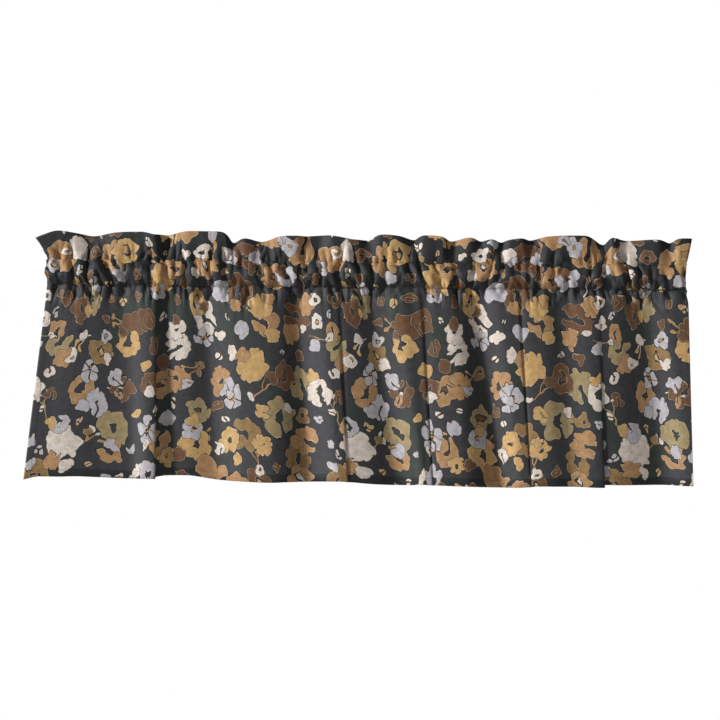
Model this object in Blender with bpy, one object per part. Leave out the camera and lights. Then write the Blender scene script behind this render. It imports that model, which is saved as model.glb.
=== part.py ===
"""A gathered rod-pocket window valance, made from one printed cotton panel.

The top of the panel is turned over to the back and sewn along two level
lines. The lower pair of layers between the lines is the pocket that a curtain
rod goes through, and the strip above it is the ruffled heading. Below the
pocket hangs a single layer in soft folds, with a turned-up hem. The whole
panel is one piece of cloth, so it is one solid here.

Units are metres. +X runs along the rod, -Y faces the room and +Z is up.
The origin lies at the top edge of the heading, at the middle of the width.
"""

import math

import bmesh
import bpy
import numpy as np

MM = 0.001

# Heights, measured down from the level line of the heading's top edge.
UPPER_STITCH = 50 * MM
LOWER_STITCH = 97 * MM
DROP = 457 * MM

# Cloth. The heading holds two layers sewn together and the hem holds three.
LAYER = 1.3 * MM
HEADING_THICKNESS = 2.6 * MM
HEM_THICKNESS = 2.4 * MM

# The pocket, seen from its end, is a flattened tube round the rod's axis.
POCKET_HALF_DEPTH = 13.0 * MM
PUFF_ROUNDNESS = 0.75  # 1 is a sine hump, less is fuller with sharper creases
BACK_PUFF_SHARE = 0.6
STITCH_WAVE_POWER = 6  # how fast the cloth's waves at a stitch give way to the rod

# Gathers die away above and below the pocket.
RIPPLE = 5.0 * MM
RIPPLE_REACH_UP = 20 * MM
RIPPLE_REACH_DOWN = 32 * MM

# The heading keeps this share of its waves at the stitch, and the skirt's
# folds open quickly at first: 1 would be an even rate. Ridges are broad and
# valleys narrow: 1 would be an even wave.
WAVE_AT_STITCH = 0.3
FOLD_OPENING = 0.75
VALLEY_SHARPNESS = 0.8
DEEPEST_AT_POCKET = 7 * MM
DEEPEST_AT_HEM = 17 * MM

# The heading's ends stand a little wider than the pocket.
LEFT_FLARE = 24 * MM
RIGHT_FLARE = 7 * MM
FLARE_REACH = 16 * MM

# Pinches: the creases that gather the pocket, from left to right.
# upper and lower: where the crease meets the two stitch lines, mm from the
# middle; puff: how far the cloth bulges before the next crease, mm; steps:
# how many columns of points there are until then.
PINCH_COLUMNS = ("upper", "lower", "puff", "steps")
PINCHES = (
    (-593, -593, 3.2, 2),
    (-571, -569, 4.4, 4),
    (-549, -536, 4.2, 3),
    (-520, -512, 4.8, 4),
    (-483, -477, 3.8, 3),
    (-450, -453, 3.6, 3),
    (-431, -426, 5.4, 2),
    (-412, -409, 4.2, 2),
    (-400, -398, 5.0, 5),
    (-370, -370, 3.4, 2),
    (-353, -353, 3.0, 2),
    (-344, -329, 4.2, 2),
    (-313, -313, 3.8, 3),
    (-287, -290, 4.4, 4),
    (-261, -257, 3.8, 2),
    (-248, -242, 3.2, 2),
    (-233, -229, 4.8, 4),
    (-200, -191, 4.2, 3),
    (-179, -163, 5.8, 3),
    (-146, -137, 3.8, 2),
    (-115, -120, 4.8, 5),
    (-87, -78, 3.6, 2),
    (-67, -63, 3.8, 3),
    (-43, -39, 3.8, 4),
    (-22, -7, 5.4, 2),
    (11, 6, 4.2, 3),
    (39, 35, 4.2, 3),
    (63, 57, 3.8, 3),
    (85, 85, 3.2, 3),
    (96, 115, 5.2, 3),
    (133, 139, 4.2, 4),
    (167, 170, 5.2, 3),
    (202, 194, 5.4, 3),
    (240, 222, 4.2, 4),
    (255, 255, 3.6, 2),
    (274, 276, 3.2, 2),
    (289, 289, 3.2, 2),
    (303, 305, 3.6, 2),
    (324, 320, 4.2, 4),
    (348, 353, 3.8, 3),
    (377, 376, 4.8, 5),
    (420, 416, 5.4, 5),
    (448, 446, 5.8, 5),
    (475, 490, 6.0, 2),
    (505, 509, 3.8, 2),
    (525, 529, 4.4, 4),
    (568, 560, 3.8, 4),
    (586, 590, 3.0, 2),
    (597, 597, 0.0, 0),
)

# The heading's top edge, from left to right, mm.
# rise: height above its level line; depth: how far it waves to the front.
HEADING_COLUMNS = ("along", "rise", "depth")
HEADING = (
    (-593, -10, 6),
    (-570, 3, 6),
    (-542, -1, 3),
    (-508, -6, -6),
    (-468, 0, 4),
    (-416, 2, 7),
    (-392, -3, 11),
    (-372, -3, -9),
    (-350, 1, -2),
    (-331, 4, 5),
    (-276, 4, 7),
    (-261, 0, 9),
    (-248, -17, -8),
    (-233, -7, 3),
    (-194, -14, -7),
    (-150, -3, 5),
    (-128, -3, 7),
    (-113, -3, -3),
    (-82, -1, -8),
    (-62, -2, 6),
    (-15, -9, 3),
    (4, -10, -6),
    (30, 1, 5),
    (60, -1, 6),
    (91, -8, -8),
    (107, 0, 5),
    (142, -2, 7),
    (159, -10, -8),
    (196, -3, 4),
    (215, -10, -6),
    (235, -6, 6),
    (252, -11, -8),
    (268, -7, 5),
    (290, -4, 6),
    (306, -7, -8),
    (338, 0, 4),
    (407, 2, 7),
    (442, -14, -9),
    (457, -1, 6),
    (485, -6, -6),
    (542, -4, 5),
    (564, -10, -7),
    (577, -2, 5),
    (597, -1, 2),
)

# The skirt's folds, from left to right along the cloth, mm.
# at_pocket and at_hem: where the fold line lies; depth_pocket and depth_hem:
# how far it stands to the front; hem_rise: how far it lifts the hem. Where
# at_hem runs back, the cloth is tucked behind the fold before it.
FOLD_COLUMNS = ("at_pocket", "at_hem", "depth_pocket", "depth_hem", "hem_rise")
FOLDS = (
    (-593, -630, 1, 14, -4),  # left edge, curled to the front
    (-571, -602, 1, 12, 2),
    (-530, -565, 3, 11, 2),
    (-516, -535, 2, 8, 3),
    (-500, -500, 1, 3, 2),
    (-456, -434, -4, -3, 0),
    (-398, -394, 5, 11, 0),
    (-391, -385, 4, 9, 0),  # rounded nose of a ridge
    (-383, -389, -1, 3, 2),  # tucked under it
    (-370, -369, -6, -11, 6),
    (-336, -328, -2, -10, 7),
    (-300, -276, -7, -16, 0),
    (-246, -216, 4, 6, -3),
    (-190, -168, 6, 14, -4),
    (-160, -144, 3, 8, -3),
    (-128, -100, -7, -14, -2),
    (-74, -41, 5, 14, 0),
    (-52, -22, 3, 12, -1),
    (-22, 14, 0, 2, -4),
    (10, 68, -7, -14, -6),
    (66, 116, 5, 9, -4),
    (98, 130, 2, 7, -5),
    (156, 190, 7, 16, -6),
    (206, 257, -7, -15, -8),
    (252, 297, 4, 7, -7),
    (324, 348, 6, 13, -4),
    (366, 391, -3, 3, -4),
    (420, 437, 6, 13, -5),
    (429, 447, 5, 11, -5),  # rounded nose of a ridge
    (438, 442, 3, 7, 0),  # tucked under it
    (458, 471, 3, 5, 0),
    (520, 555, -7, -15, 1),
    (568, 598, 3, 4, 0),
    (597, 609, 3, 8, 0),  # right edge, curled to the front
)

# Rows of the section, as shares: of the heading's height from its top edge,
# of the pocket's height from its upper stitch, and of the skirt's length.
HEADING_ROWS = (0.0, 0.32, 0.7, 1.0)
POCKET_ROWS = (0.2, 0.5, 0.8)
SKIRT_ROWS = (0.0, 0.07, 0.2, 0.4, 0.65, 0.88, 0.955, 1.0)
HEM_STARTS_AT = 0.955
TUNNEL_TOP = 0.08
TUNNEL_FOOT = 0.92

SLATE = (0.045, 0.05, 0.056, 1.0)
COTTON_ROUGHNESS = 0.85


def column(table, names, name):
    """One named column of a table in mm, as an array in metres."""
    return np.array([row[names.index(name)] for row in table], float) * MM


def rounded(knots, values, places, flat_turns):
    """A smooth curve through (knots, values), read at places. With
    flat_turns it levels out at each ridge and valley and never overshoots."""
    width = np.diff(knots)
    slope = np.diff(values) / width
    inner = (width[1:] * slope[:-1] + width[:-1] * slope[1:]) / (width[1:] + width[:-1])
    if flat_turns:
        inner = np.where(slope[:-1] * slope[1:] > 0, inner, 0.0)
        limit = 3 * np.minimum(abs(slope[:-1]), abs(slope[1:]))
        inner = np.clip(inner, -limit, limit)
    tangent = np.concatenate([slope[:1], inner, slope[-1:]])
    index = np.clip(np.searchsorted(knots, places) - 1, 0, len(width) - 1)
    step = width[index]
    part = (places - knots[index]) / step
    return (
        values[index] * (1 + 2 * part) * (1 - part) ** 2
        + tangent[index] * step * part * (1 - part) ** 2
        + values[index + 1] * part**2 * (3 - 2 * part)
        - tangent[index + 1] * step * part**2 * (1 - part)
    )


def cloth_columns():
    """Where each column of points crosses the two stitch lines, how far the
    pocket puffs out there, and its share of the way between two pinches."""
    upper_pinch = column(PINCHES, PINCH_COLUMNS, "upper")
    lower_pinch = column(PINCHES, PINCH_COLUMNS, "lower")
    puffs = column(PINCHES, PINCH_COLUMNS, "puff")
    upper, lower, puff, between = [], [], [], []
    for left in range(len(PINCHES) - 1):
        right = left + 1
        count = PINCHES[left][PINCH_COLUMNS.index("steps")]
        for step in range(count):
            share = step / count
            upper.append(upper_pinch[left] + share * (upper_pinch[right] - upper_pinch[left]))
            lower.append(lower_pinch[left] + share * (lower_pinch[right] - lower_pinch[left]))
            puff.append(puffs[left] * math.sin(math.pi * share) ** PUFF_ROUNDNESS)
            between.append(share)
    upper.append(upper_pinch[-1])
    lower.append(lower_pinch[-1])
    puff.append(0.0)
    between.append(0.0)
    return np.array(upper), np.array(lower), np.array(puff), np.array(between)


UPPER, LOWER, PUFF, BETWEEN = cloth_columns()
RIPPLES = RIPPLE * (np.sin(np.pi * BETWEEN) - 0.5)


def heading_depth(up):
    """How far the heading stands to the front, from 0 at the upper stitch
    to 1 at its top edge."""
    knots = column(HEADING, HEADING_COLUMNS, "along")
    depth = rounded(knots, column(HEADING, HEADING_COLUMNS, "depth"), UPPER, True)
    share = WAVE_AT_STITCH + (1 - WAVE_AT_STITCH) * up
    return depth * share + RIPPLES * math.exp(-up * UPPER_STITCH / RIPPLE_REACH_UP)


def heading_row(up):
    """Points along the heading's middle surface."""
    knots = column(HEADING, HEADING_COLUMNS, "along")
    rise = rounded(knots, column(HEADING, HEADING_COLUMNS, "rise"), UPPER, True)
    left = LEFT_FLARE * np.exp(-(UPPER - UPPER[0]) / FLARE_REACH)
    right = RIGHT_FLARE * np.exp(-(UPPER[-1] - UPPER) / FLARE_REACH)
    along = UPPER + (right - left) * up
    height = UPPER_STITCH * (up - 1) + rise * up**2
    return np.column_stack([along, -heading_depth(up), height])


def creased(depth, deepest):
    """Sharper valleys and broader ridges from an even wave."""
    share = ((depth + deepest) / (2 * deepest)).clip(0.0)
    return (2 * share**VALLEY_SHARPNESS - 1) * deepest


def skirt_row(down):
    """Points along the skirt's middle surface, from 0 at the lower stitch
    to 1 at the hem's edge."""
    knots = column(FOLDS, FOLD_COLUMNS, "at_pocket")
    at_hem = rounded(knots, column(FOLDS, FOLD_COLUMNS, "at_hem"), LOWER, False)
    near = rounded(knots, column(FOLDS, FOLD_COLUMNS, "depth_pocket"), LOWER, True)
    near = creased(near, DEEPEST_AT_POCKET)
    far = rounded(knots, column(FOLDS, FOLD_COLUMNS, "depth_hem"), LOWER, True)
    far = creased(far, DEEPEST_AT_HEM)
    rise = rounded(knots, column(FOLDS, FOLD_COLUMNS, "hem_rise"), LOWER, True)
    length = DROP - LOWER_STITCH
    opened = down**FOLD_OPENING
    ripple = RIPPLES * math.exp(-down * length / RIPPLE_REACH_DOWN)
    along = LOWER + (at_hem - LOWER) * down
    depth = near + (far - near) * opened + ripple
    height = -LOWER_STITCH - length * down + rise * down
    return np.column_stack([along, -depth, height])


def pocket_row(down, side):
    """Points along the middle of the pocket's front (side 1) or back wall
    (side -1), from 0 at the upper stitch to 1 at the lower one. Next to the
    stitches the walls follow the cloth there, and between them the rod."""
    upper_depth = -heading_row(0.0)[:, 1]
    lower_depth = -skirt_row(0.0)[:, 1]
    share = 1.0 if side > 0 else BACK_PUFF_SHARE
    arch = 1 - (2 * down - 1) ** 4
    centre = upper_depth * (1 - down) ** STITCH_WAVE_POWER + lower_depth * down**STITCH_WAVE_POWER
    depth = centre + side * (POCKET_HALF_DEPTH + share * PUFF) * arch
    along = UPPER + (LOWER - UPPER) * down
    height = -UPPER_STITCH - (LOWER_STITCH - UPPER_STITCH) * down
    return np.column_stack([along, -depth, np.full(len(along), height)])


def front_direction(row):
    """Level unit vectors square to a row of points, towards the front."""
    along = np.gradient(row[:, 0])
    back = np.gradient(row[:, 1])
    size = np.hypot(along, back)
    return np.column_stack([back / size, -along / size, np.zeros(len(row))])


def faces_of(row, thickness):
    """The cloth's front and back points at a row of its middle surface."""
    offset = front_direction(row) * thickness / 2
    return row + offset, row - offset


def section_rows():
    """All rows of the section: the outer front and back from the top edge to
    the hem, the front and back walls of the pocket's tunnel, and the
    tunnel's top and foot, where its walls meet."""
    front, back = [], []
    for down in HEADING_ROWS:
        outer, inner = faces_of(heading_row(1 - down), HEADING_THICKNESS)
        front.append(outer)
        back.append(inner)
    tunnel_front, tunnel_back = [], []
    for down in POCKET_ROWS:
        outer, inner = faces_of(pocket_row(down, 1), LAYER)
        front.append(outer)
        tunnel_front.append(inner)
        inner, outer = faces_of(pocket_row(down, -1), LAYER)
        back.append(outer)
        tunnel_back.append(inner)
    for down in SKIRT_ROWS:
        thickness = HEM_THICKNESS if down >= HEM_STARTS_AT else LAYER
        if down == 0.0:
            thickness = HEADING_THICKNESS
        outer, inner = faces_of(skirt_row(down), thickness)
        front.append(outer)
        back.append(inner)
    top = (pocket_row(TUNNEL_TOP, 1) + pocket_row(TUNNEL_TOP, -1)) / 2
    foot = (pocket_row(TUNNEL_FOOT, 1) + pocket_row(TUNNEL_FOOT, -1)) / 2
    return front, back, tunnel_front, tunnel_back, top, foot


def level_at_middle(rows):
    """Lifts every row so that the top edge is at z = 0 at the middle."""
    edge = rows[0][0]
    lift = np.interp(0.0, edge[:, 0], edge[:, 2])
    for group in rows[:4]:
        for row in group:
            row[:, 2] -= lift
    for row in rows[4:]:
        row[:, 2] -= lift


def add_verts(mesh, rows):
    return [[mesh.verts.new(point) for point in row] for row in rows]


def add_skin(mesh, upper, lower):
    """Triangles between two rows. Every skin is split along the same
    diagonal, so the two faces of the thin cloth stay parallel."""
    for left in range(len(upper) - 1):
        right = left + 1
        mesh.faces.new((upper[left], lower[left], lower[right]))
        mesh.faces.new((upper[left], lower[right], upper[right]))


def add_end(mesh, front, back, tunnel_front, tunnel_back, top, foot, end):
    """Closes the cloth at one side edge (end 0 or -1), leaving the tunnel
    open. The rows come in order: heading, upper stitch, pocket, skirt."""
    stitch = len(HEADING_ROWS) - 1
    lower_stitch = stitch + len(POCKET_ROWS) + 1
    for row in range(len(front) - 1):
        if row < stitch or row >= lower_stitch:
            corners = (front[row], front[row + 1], back[row + 1], back[row])
            mesh.faces.new([line[end] for line in corners])
    mesh.faces.new([line[end] for line in (front[stitch], top, back[stitch])])
    mesh.faces.new([line[end] for line in (front[lower_stitch], foot, back[lower_stitch])])
    for outer, inner in ((front, tunnel_front), (back, tunnel_back)):
        walls = [top, *inner, foot]
        for row in range(len(walls) - 1):
            corners = (outer[stitch + row], outer[stitch + row + 1], walls[row + 1], walls[row])
            mesh.faces.new([line[end] for line in corners])


def cloth_material():
    material = bpy.data.materials.new("printed_cotton")
    material.use_nodes = True
    shader = material.node_tree.nodes["Principled BSDF"]
    shader.inputs["Base Color"].default_value = SLATE
    shader.inputs["Roughness"].default_value = COTTON_ROUGHNESS
    shader.inputs["Metallic"].default_value = 0.0
    material.diffuse_color = SLATE
    return material


def make_panel():
    rows = section_rows()
    level_at_middle(rows)
    mesh = bmesh.new()
    front, back, tunnel_front, tunnel_back = (add_verts(mesh, group) for group in rows[:4])
    top, foot = add_verts(mesh, rows[4:])
    for outer in (front, back):
        for row in range(len(outer) - 1):
            add_skin(mesh, outer[row], outer[row + 1])
    add_skin(mesh, front[0], back[0])
    add_skin(mesh, front[-1], back[-1])
    for inner in (tunnel_front, tunnel_back):
        walls = [top, *inner, foot]
        for row in range(len(walls) - 1):
            add_skin(mesh, walls[row], walls[row + 1])
    for end in (0, -1):
        add_end(mesh, front, back, tunnel_front, tunnel_back, top, foot, end)
    bmesh.ops.recalc_face_normals(mesh, faces=mesh.faces)
    data = bpy.data.meshes.new("valance_panel")
    mesh.to_mesh(data)
    mesh.free()
    data.shade_smooth()
    data.materials.append(cloth_material())
    panel = bpy.data.objects.new("valance_panel", data)
    bpy.context.scene.collection.objects.link(panel)


for old in list(bpy.data.objects):
    bpy.data.objects.remove(old, do_unlink=True)
make_panel()
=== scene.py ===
# %% [markdown]
# # A gathered window valance
#
# A valance is the short curtain across the top of a window. This one is a
# single panel of printed cotton. Its top is turned over to the back and sewn
# down along two level lines. The curtain rod goes through the pocket between
# those lines, the cloth above them stands up as a ruffled heading, and the
# cloth below hangs as a softly folded skirt. We could thicken and dent the
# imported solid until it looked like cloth. But real gathers come from spare
# width, so we build the panel from its flat size, in steps a maker would know.
# First we load the solid, which says where the cloth has to hang.

# %% Load the frame
import math

import bpy
import numpy as np
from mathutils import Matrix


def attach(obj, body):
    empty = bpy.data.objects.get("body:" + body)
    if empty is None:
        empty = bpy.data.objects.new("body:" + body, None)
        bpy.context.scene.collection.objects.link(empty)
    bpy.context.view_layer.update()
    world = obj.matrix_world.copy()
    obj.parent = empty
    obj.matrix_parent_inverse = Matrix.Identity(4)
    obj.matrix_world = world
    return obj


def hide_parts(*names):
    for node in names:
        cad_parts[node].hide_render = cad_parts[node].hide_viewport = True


MM = 0.001
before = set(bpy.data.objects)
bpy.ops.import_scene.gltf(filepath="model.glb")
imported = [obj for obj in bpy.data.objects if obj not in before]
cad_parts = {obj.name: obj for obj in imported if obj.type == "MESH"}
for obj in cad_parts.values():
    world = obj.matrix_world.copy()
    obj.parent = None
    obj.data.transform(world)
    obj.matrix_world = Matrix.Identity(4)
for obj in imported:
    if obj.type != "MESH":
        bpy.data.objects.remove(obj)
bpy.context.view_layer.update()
print("solids in the frame:", len(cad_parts))

# %% [markdown]
# ## The camera
#
# The valance was photographed from in front with a long lens, from a place a
# little to the right of its middle and a little below it. A long lens stands
# far off, so the folds at both ends keep nearly the same size. We could aim
# the camera with a constraint, but two points and a small roll are easier to
# match to the slope of the two stitch lines.

# %% Place the camera
from mathutils import Matrix, Vector

camera_at = Vector((0.111, -3.4, -0.297))
aimed_at = Vector((-0.0073, 0.0, -0.222))
camera_data = bpy.data.cameras.new("camera")
camera_data.lens = 91.6
camera_data.sensor_width = 36.0
camera = bpy.data.objects.new("camera", camera_data)
bpy.context.scene.collection.objects.link(camera)
looking = (aimed_at - camera_at).to_track_quat("-Z", "Y").to_matrix().to_4x4()
roll = Matrix.Rotation(math.radians(0.695), 4, "Z")
camera.matrix_world = Matrix.Translation(camera_at) @ looking @ roll
bpy.context.scene.camera = camera
print("camera stands", round((aimed_at - camera_at).length, 2), "m away")

# %% [markdown]
# ## The sizes a maker would write down
#
# The finished panel is 58 inches wide and is pushed together on its rod to
# about 47. From the heading's top edge it is 2 inches to the first stitch
# line, about 2 more to the second, and 18 to the hem. These are the same
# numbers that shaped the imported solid, so the cloth falls where the solid is.

# %% Sizes of the panel, in metres
FLAT_WIDTH = 1480 * MM
UPPER_STITCH = 50 * MM  # all three are measured down from the heading's edge
LOWER_STITCH = 97 * MM
DROP = 457 * MM
HEM_DEPTH = 15 * MM

# %% [markdown]
# ## How this cotton bends
#
# Light cotton shows its character in a few habits. A pinch lies close to the
# rod and gives way before it reaches the next seam. A puff is fuller at its
# sides than a plain arch. Folds start shallow at the pocket and open towards
# the hem, with sharp valleys and broad ridges. Each habit gets a number here,
# so it can be changed alone and set against the photograph.

# %% The shape of the rod pocket
PINCH_DEPTH = 10.5 * MM  # from the rod's axis to a pinch
PINCH_FADES = 4.5 * MM  # the most that a pinch gives way before it ends
PINCH_FADE_REACH = 0.28  # as a share of the pocket's height
LEAST_PUFF = 1.5 * MM
PUFF_ROUNDNESS = 0.75  # below 1 a puff is fuller at its sides
POCKET_ARCH = 1.8  # above 1 the pocket is flatter in its middle
BACK_PUFF_SHARE = 0.6  # the back wall puffs out less than the front
STITCH_WAVE_POWER = 6  # how soon a stitch line's wave dies out in the pocket

# %% The shape of the heading and the skirt
RIPPLE = 6.5 * MM  # depth of the small waves that leave a stitch line
RIPPLE_REACH_UP = 16 * MM
RIPPLE_REACH_DOWN = 20 * MM
WAVE_AT_STITCH = 0.3  # share of the heading's wave at its stitch line
LEFT_FLARE = 24 * MM  # how far the heading's free corners lean outwards
RIGHT_FLARE = 7 * MM
FLARE_REACH = 16 * MM
VALLEY_SHARPNESS = 0.8  # below 1 valleys are sharp and ridges are broad
DEEPEST_AT_POCKET = 7 * MM
DEEPEST_AT_HEM = 17 * MM
FOLD_OPENING = 0.75  # below 1 the folds open soon below the pocket
print("folds are up to", round(2 * DEEPEST_AT_HEM / MM), "mm from ridge to valley at the hem")

# %% [markdown]
# ## Where the cloth is pinched, waved and folded
#
# Cloth on a rod gathers into pinches. Each one runs from the upper stitch
# line to the lower, often at a slant, and the cloth puffs out before the
# next. Above them the heading waves, and below them the skirt falls in
# broad folds. A simulation alone would fold the cloth anywhere, so the main
# creases are laid one by one: three tables, each read from left to right.

# %% The pinches, in mm: at the upper stitch, at the lower one, how far it puffs
PINCHES = (
    (-593, -593, 3.2), (-571, -569, 4.4), (-549, -536, 4.2), (-520, -512, 4.8),
    (-483, -477, 3.8), (-450, -453, 3.6), (-431, -426, 5.4), (-412, -409, 4.2),
    (-400, -398, 5.0), (-370, -370, 3.4), (-353, -353, 3.0), (-344, -329, 4.2),
    (-313, -313, 3.8), (-287, -290, 4.4), (-261, -257, 3.8), (-248, -242, 3.2),
    (-233, -229, 4.8), (-200, -191, 4.2), (-179, -163, 5.8), (-146, -137, 3.8),
    (-115, -120, 4.8), (-87, -78, 3.6), (-67, -63, 3.8), (-43, -39, 3.8),
    (-22, -7, 5.4), (11, 6, 4.2), (39, 35, 4.2), (63, 57, 3.8),
    (85, 85, 3.2), (96, 115, 5.2), (133, 139, 4.2), (167, 170, 5.2),
    (202, 194, 5.4), (240, 222, 4.2), (255, 255, 3.6), (274, 276, 3.2),
    (289, 289, 3.2), (303, 305, 3.6), (324, 320, 4.2), (348, 353, 3.8),
    (377, 376, 4.8), (420, 416, 5.4), (448, 446, 5.8), (475, 490, 6.0),
    (505, 509, 3.8), (525, 529, 4.4), (568, 560, 3.8), (586, 590, 3.0),
    (597, 597, 0.0),
)

# %% The heading's top edge, in mm: along, rise above its line, depth to the front
HEADING = (
    (-593, -10, 6), (-570, 3, 6), (-542, -1, 3), (-508, -6, -6), (-468, 0, 4),
    (-416, 2, 7), (-392, -3, 11), (-372, -3, -9), (-350, 1, -2), (-331, 4, 5),
    (-276, 4, 6), (-262, 1, 6), (-246, -17, -6), (-226, -8, 1), (-194, -14, -6),
    (-150, -3, 5), (-128, -3, 7), (-113, -3, -3), (-82, -1, -8), (-62, -2, 6),
    (-15, -9, 3), (4, -10, -6), (30, 1, 5), (60, -1, 6), (91, -8, -8),
    (107, 0, 5), (142, -2, 7), (159, -10, -8), (196, -3, 4), (215, -10, -6),
    (235, -6, 6), (252, -11, -8), (268, -7, 5), (290, -4, 6), (306, -7, -8),
    (338, 0, 4), (407, 2, 7), (442, -14, -9), (457, -1, 6), (485, -6, -6),
    (542, -4, 5), (564, -10, -7), (577, -2, 5), (597, -1, 2),
)

# %% The skirt's folds, in mm: at the pocket, at the hem, depth at each, hem's lift
# Rows that stand only a few millimetres apart press a narrow tuck.
FOLDS = (
    (-593, -630, 1, 14, -4), (-571, -602, 1, 12, 2), (-530, -565, 3, 11, 2),
    (-516, -535, 2, 8, 3), (-500, -500, 1, 3, 2), (-456, -434, -4, -3, 0),
    (-398, -394, 5, 11, 0), (-391, -385, 4, 9, 0), (-383, -389, -1, 3, 2),
    (-370, -369, -6, -11, 6), (-336, -328, -2, -10, 7), (-300, -276, -7, -16, 0),
    (-246, -216, 4, 6, -3), (-190, -168, 6, 14, -4), (-160, -144, 3, 8, -3),
    (-128, -100, -7, -14, -2), (-74, -41, 5, 14, 0), (-52, -27, 3, 12, -1),
    (-46, -31, 1, 7, -1), (-40, -25, 2, 9, -1), (-22, 14, 0, 2, -4),
    (10, 68, -7, -14, -6), (66, 116, 5, 9, -4), (96, 126, 3, 8, -5),
    (101, 131, 3, 8, -5), (106, 127, 0, 3, -5), (114, 134, 2, 7, -5),
    (156, 190, 7, 16, -6), (206, 257, -7, -15, -8), (252, 292, 4, 8, -7),
    (276, 307, 5, 10, -6), (281, 311, 5, 10, -6), (286, 308, 2, 5, -6),
    (294, 316, 4, 10, -5), (324, 348, 6, 13, -4), (366, 391, -3, 3, -4),
    (420, 437, 6, 13, -5), (429, 447, 5, 11, -5), (438, 442, 3, 7, 0),
    (458, 471, 3, 5, 0), (520, 555, -7, -15, 1), (568, 598, 3, 4, 0),
    (597, 609, 3, 8, 0),
)
print(len(PINCHES), "pinches,", len(HEADING), "heading points,", len(FOLDS), "fold lines")

# %% [markdown]
# ## From a table to a smooth fold
#
# A table says where the ridges and valleys are, and cloth runs smoothly from
# one to the next. A Bezier curve object could do this, but it may swing past
# a ridge. We write the curve out as one cubic piece between each two rows,
# and level it at every turn, so a ridge is never higher than its row says.


# %% A smooth curve through a table's points
def table_column(table, number):
    """One column of a table, in metres."""
    return np.array([row[number] for row in table], float) * MM


def rounded(knots, values, places, flat_turns):
    """A smooth curve through (knots, values), read at places. With
    flat_turns it levels out at each ridge and valley and never overshoots."""
    width = np.diff(knots)
    slope = np.diff(values) / width
    inner = (width[1:] * slope[:-1] + width[:-1] * slope[1:]) / (width[1:] + width[:-1])
    if flat_turns:
        inner = np.where(slope[:-1] * slope[1:] > 0, inner, 0.0)
        limit = 3 * np.minimum(abs(slope[:-1]), abs(slope[1:]))
        inner = np.clip(inner, -limit, limit)
    tangent = np.concatenate([slope[:1], inner, slope[-1:]])
    index = np.clip(np.searchsorted(knots, places) - 1, 0, len(width) - 1)
    step = width[index]
    part = (places - knots[index]) / step
    return (
        values[index] * (1 + 2 * part) * (1 - part) ** 2
        + tangent[index] * step * part * (1 - part) ** 2
        + values[index + 1] * part**2 * (3 - 2 * part)
        - tangent[index + 1] * step * part**2 * (1 - part)
    )


# %% Two small measures of cloth
def creased(depth, deepest):
    """Sharper valleys and broader ridges from an even wave."""
    return (2 * ((depth + deepest) / (2 * deepest)).clip(0.0) ** VALLEY_SHARPNESS - 1) * deepest


def run_of(points):
    """The length along a line of points, from its start to each of them."""
    steps = np.linalg.norm(np.diff(points, axis=0), axis=1)
    return np.concatenate([[0.0], np.cumsum(steps)])


# %% [markdown]
# ## Threads up and down the cloth
#
# Every column of points follows one lengthwise thread of the panel, so a
# column keeps its place in the cloth from the heading to the hem. The panel is
# a quarter wider than the line it is sewn to. That extra cloth isn't shared
# out evenly: a tight, full puff takes more of it than a slack one, and where
# the hem swings out in a deep fold, the cloth above is gathered more. We take
# the mean of these two. Counting the columns in flat cloth keeps them evenly
# spaced in the print.

# %% How much cloth each puff takes at the rod
upper_pinch = table_column(PINCHES, 0)
lower_pinch = table_column(PINCHES, 1)
puffs = table_column(PINCHES, 2)[:-1]
chords = np.diff(upper_pinch + lower_pinch) / 2
extra = puffs**2
extra *= (FLAT_WIDTH - chords.sum()) / extra.sum()
print("cloth to gather away:", round((FLAT_WIDTH - chords.sum()) * 1000), "mm")

# %% How much cloth each puff needs at the hem
hem_places = np.linspace(lower_pinch[0], lower_pinch[-1], 1200)
fold_knots = table_column(FOLDS, 0)
hem_along = rounded(fold_knots, table_column(FOLDS, 1), hem_places, False)
hem_wave = rounded(fold_knots, table_column(FOLDS, 3), hem_places, True)
hem_run = run_of(np.column_stack([hem_along, creased(hem_wave, DEEPEST_AT_HEM)]))
hem_needs = np.diff(np.interp(lower_pinch, hem_places, hem_run))
print("the hem's folds are", round(hem_run[-1], 3), "m long")

# %% Share the flat cloth out between the pinches
COLUMN_SPACING = 3.0 * MM
flat_pieces = (chords + extra + hem_needs * FLAT_WIDTH / hem_needs.sum()) / 2
flat_pinch = np.concatenate([[0.0], np.cumsum(flat_pieces)])
columns_in_puff = np.maximum(3, np.round(flat_pieces / COLUMN_SPACING).astype(int))
PIECE = np.repeat(np.arange(len(puffs)), columns_in_puff)
SHARE = np.concatenate([np.arange(count) / count for count in columns_in_puff])


def between_pinches(at_pinch):
    """Values given at the pinches, spread evenly over the columns between."""
    spread = at_pinch[PIECE] + SHARE * np.diff(at_pinch)[PIECE]
    return np.append(spread, at_pinch[-1])


UPPER = between_pinches(upper_pinch)
LOWER = between_pinches(lower_pinch)
ACROSS = between_pinches(flat_pinch)
fullest = round(max(flat_pieces / chords), 2)
print(len(UPPER), "columns; the fullest puff holds", fullest, "times its width")

# %% Where each pinch gives way, and how the cloth swells between two
pinch_chance = np.random.default_rng(3)
FADED = pinch_chance.uniform(0.0, PINCH_FADES, len(PINCHES))
FADES_AT = pinch_chance.choice([0.25, 0.5, 0.75], len(PINCHES))
swell = np.sin(np.pi * SHARE)
PUFF = np.append((puffs[PIECE] + LEAST_PUFF) * swell**PUFF_ROUNDNESS, 0.0)
RIPPLES = RIPPLE * np.append(swell - 0.5, -0.5)
print("a pinch gives way by", round(FADED.mean() * 1000, 1), "mm on average")

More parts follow.
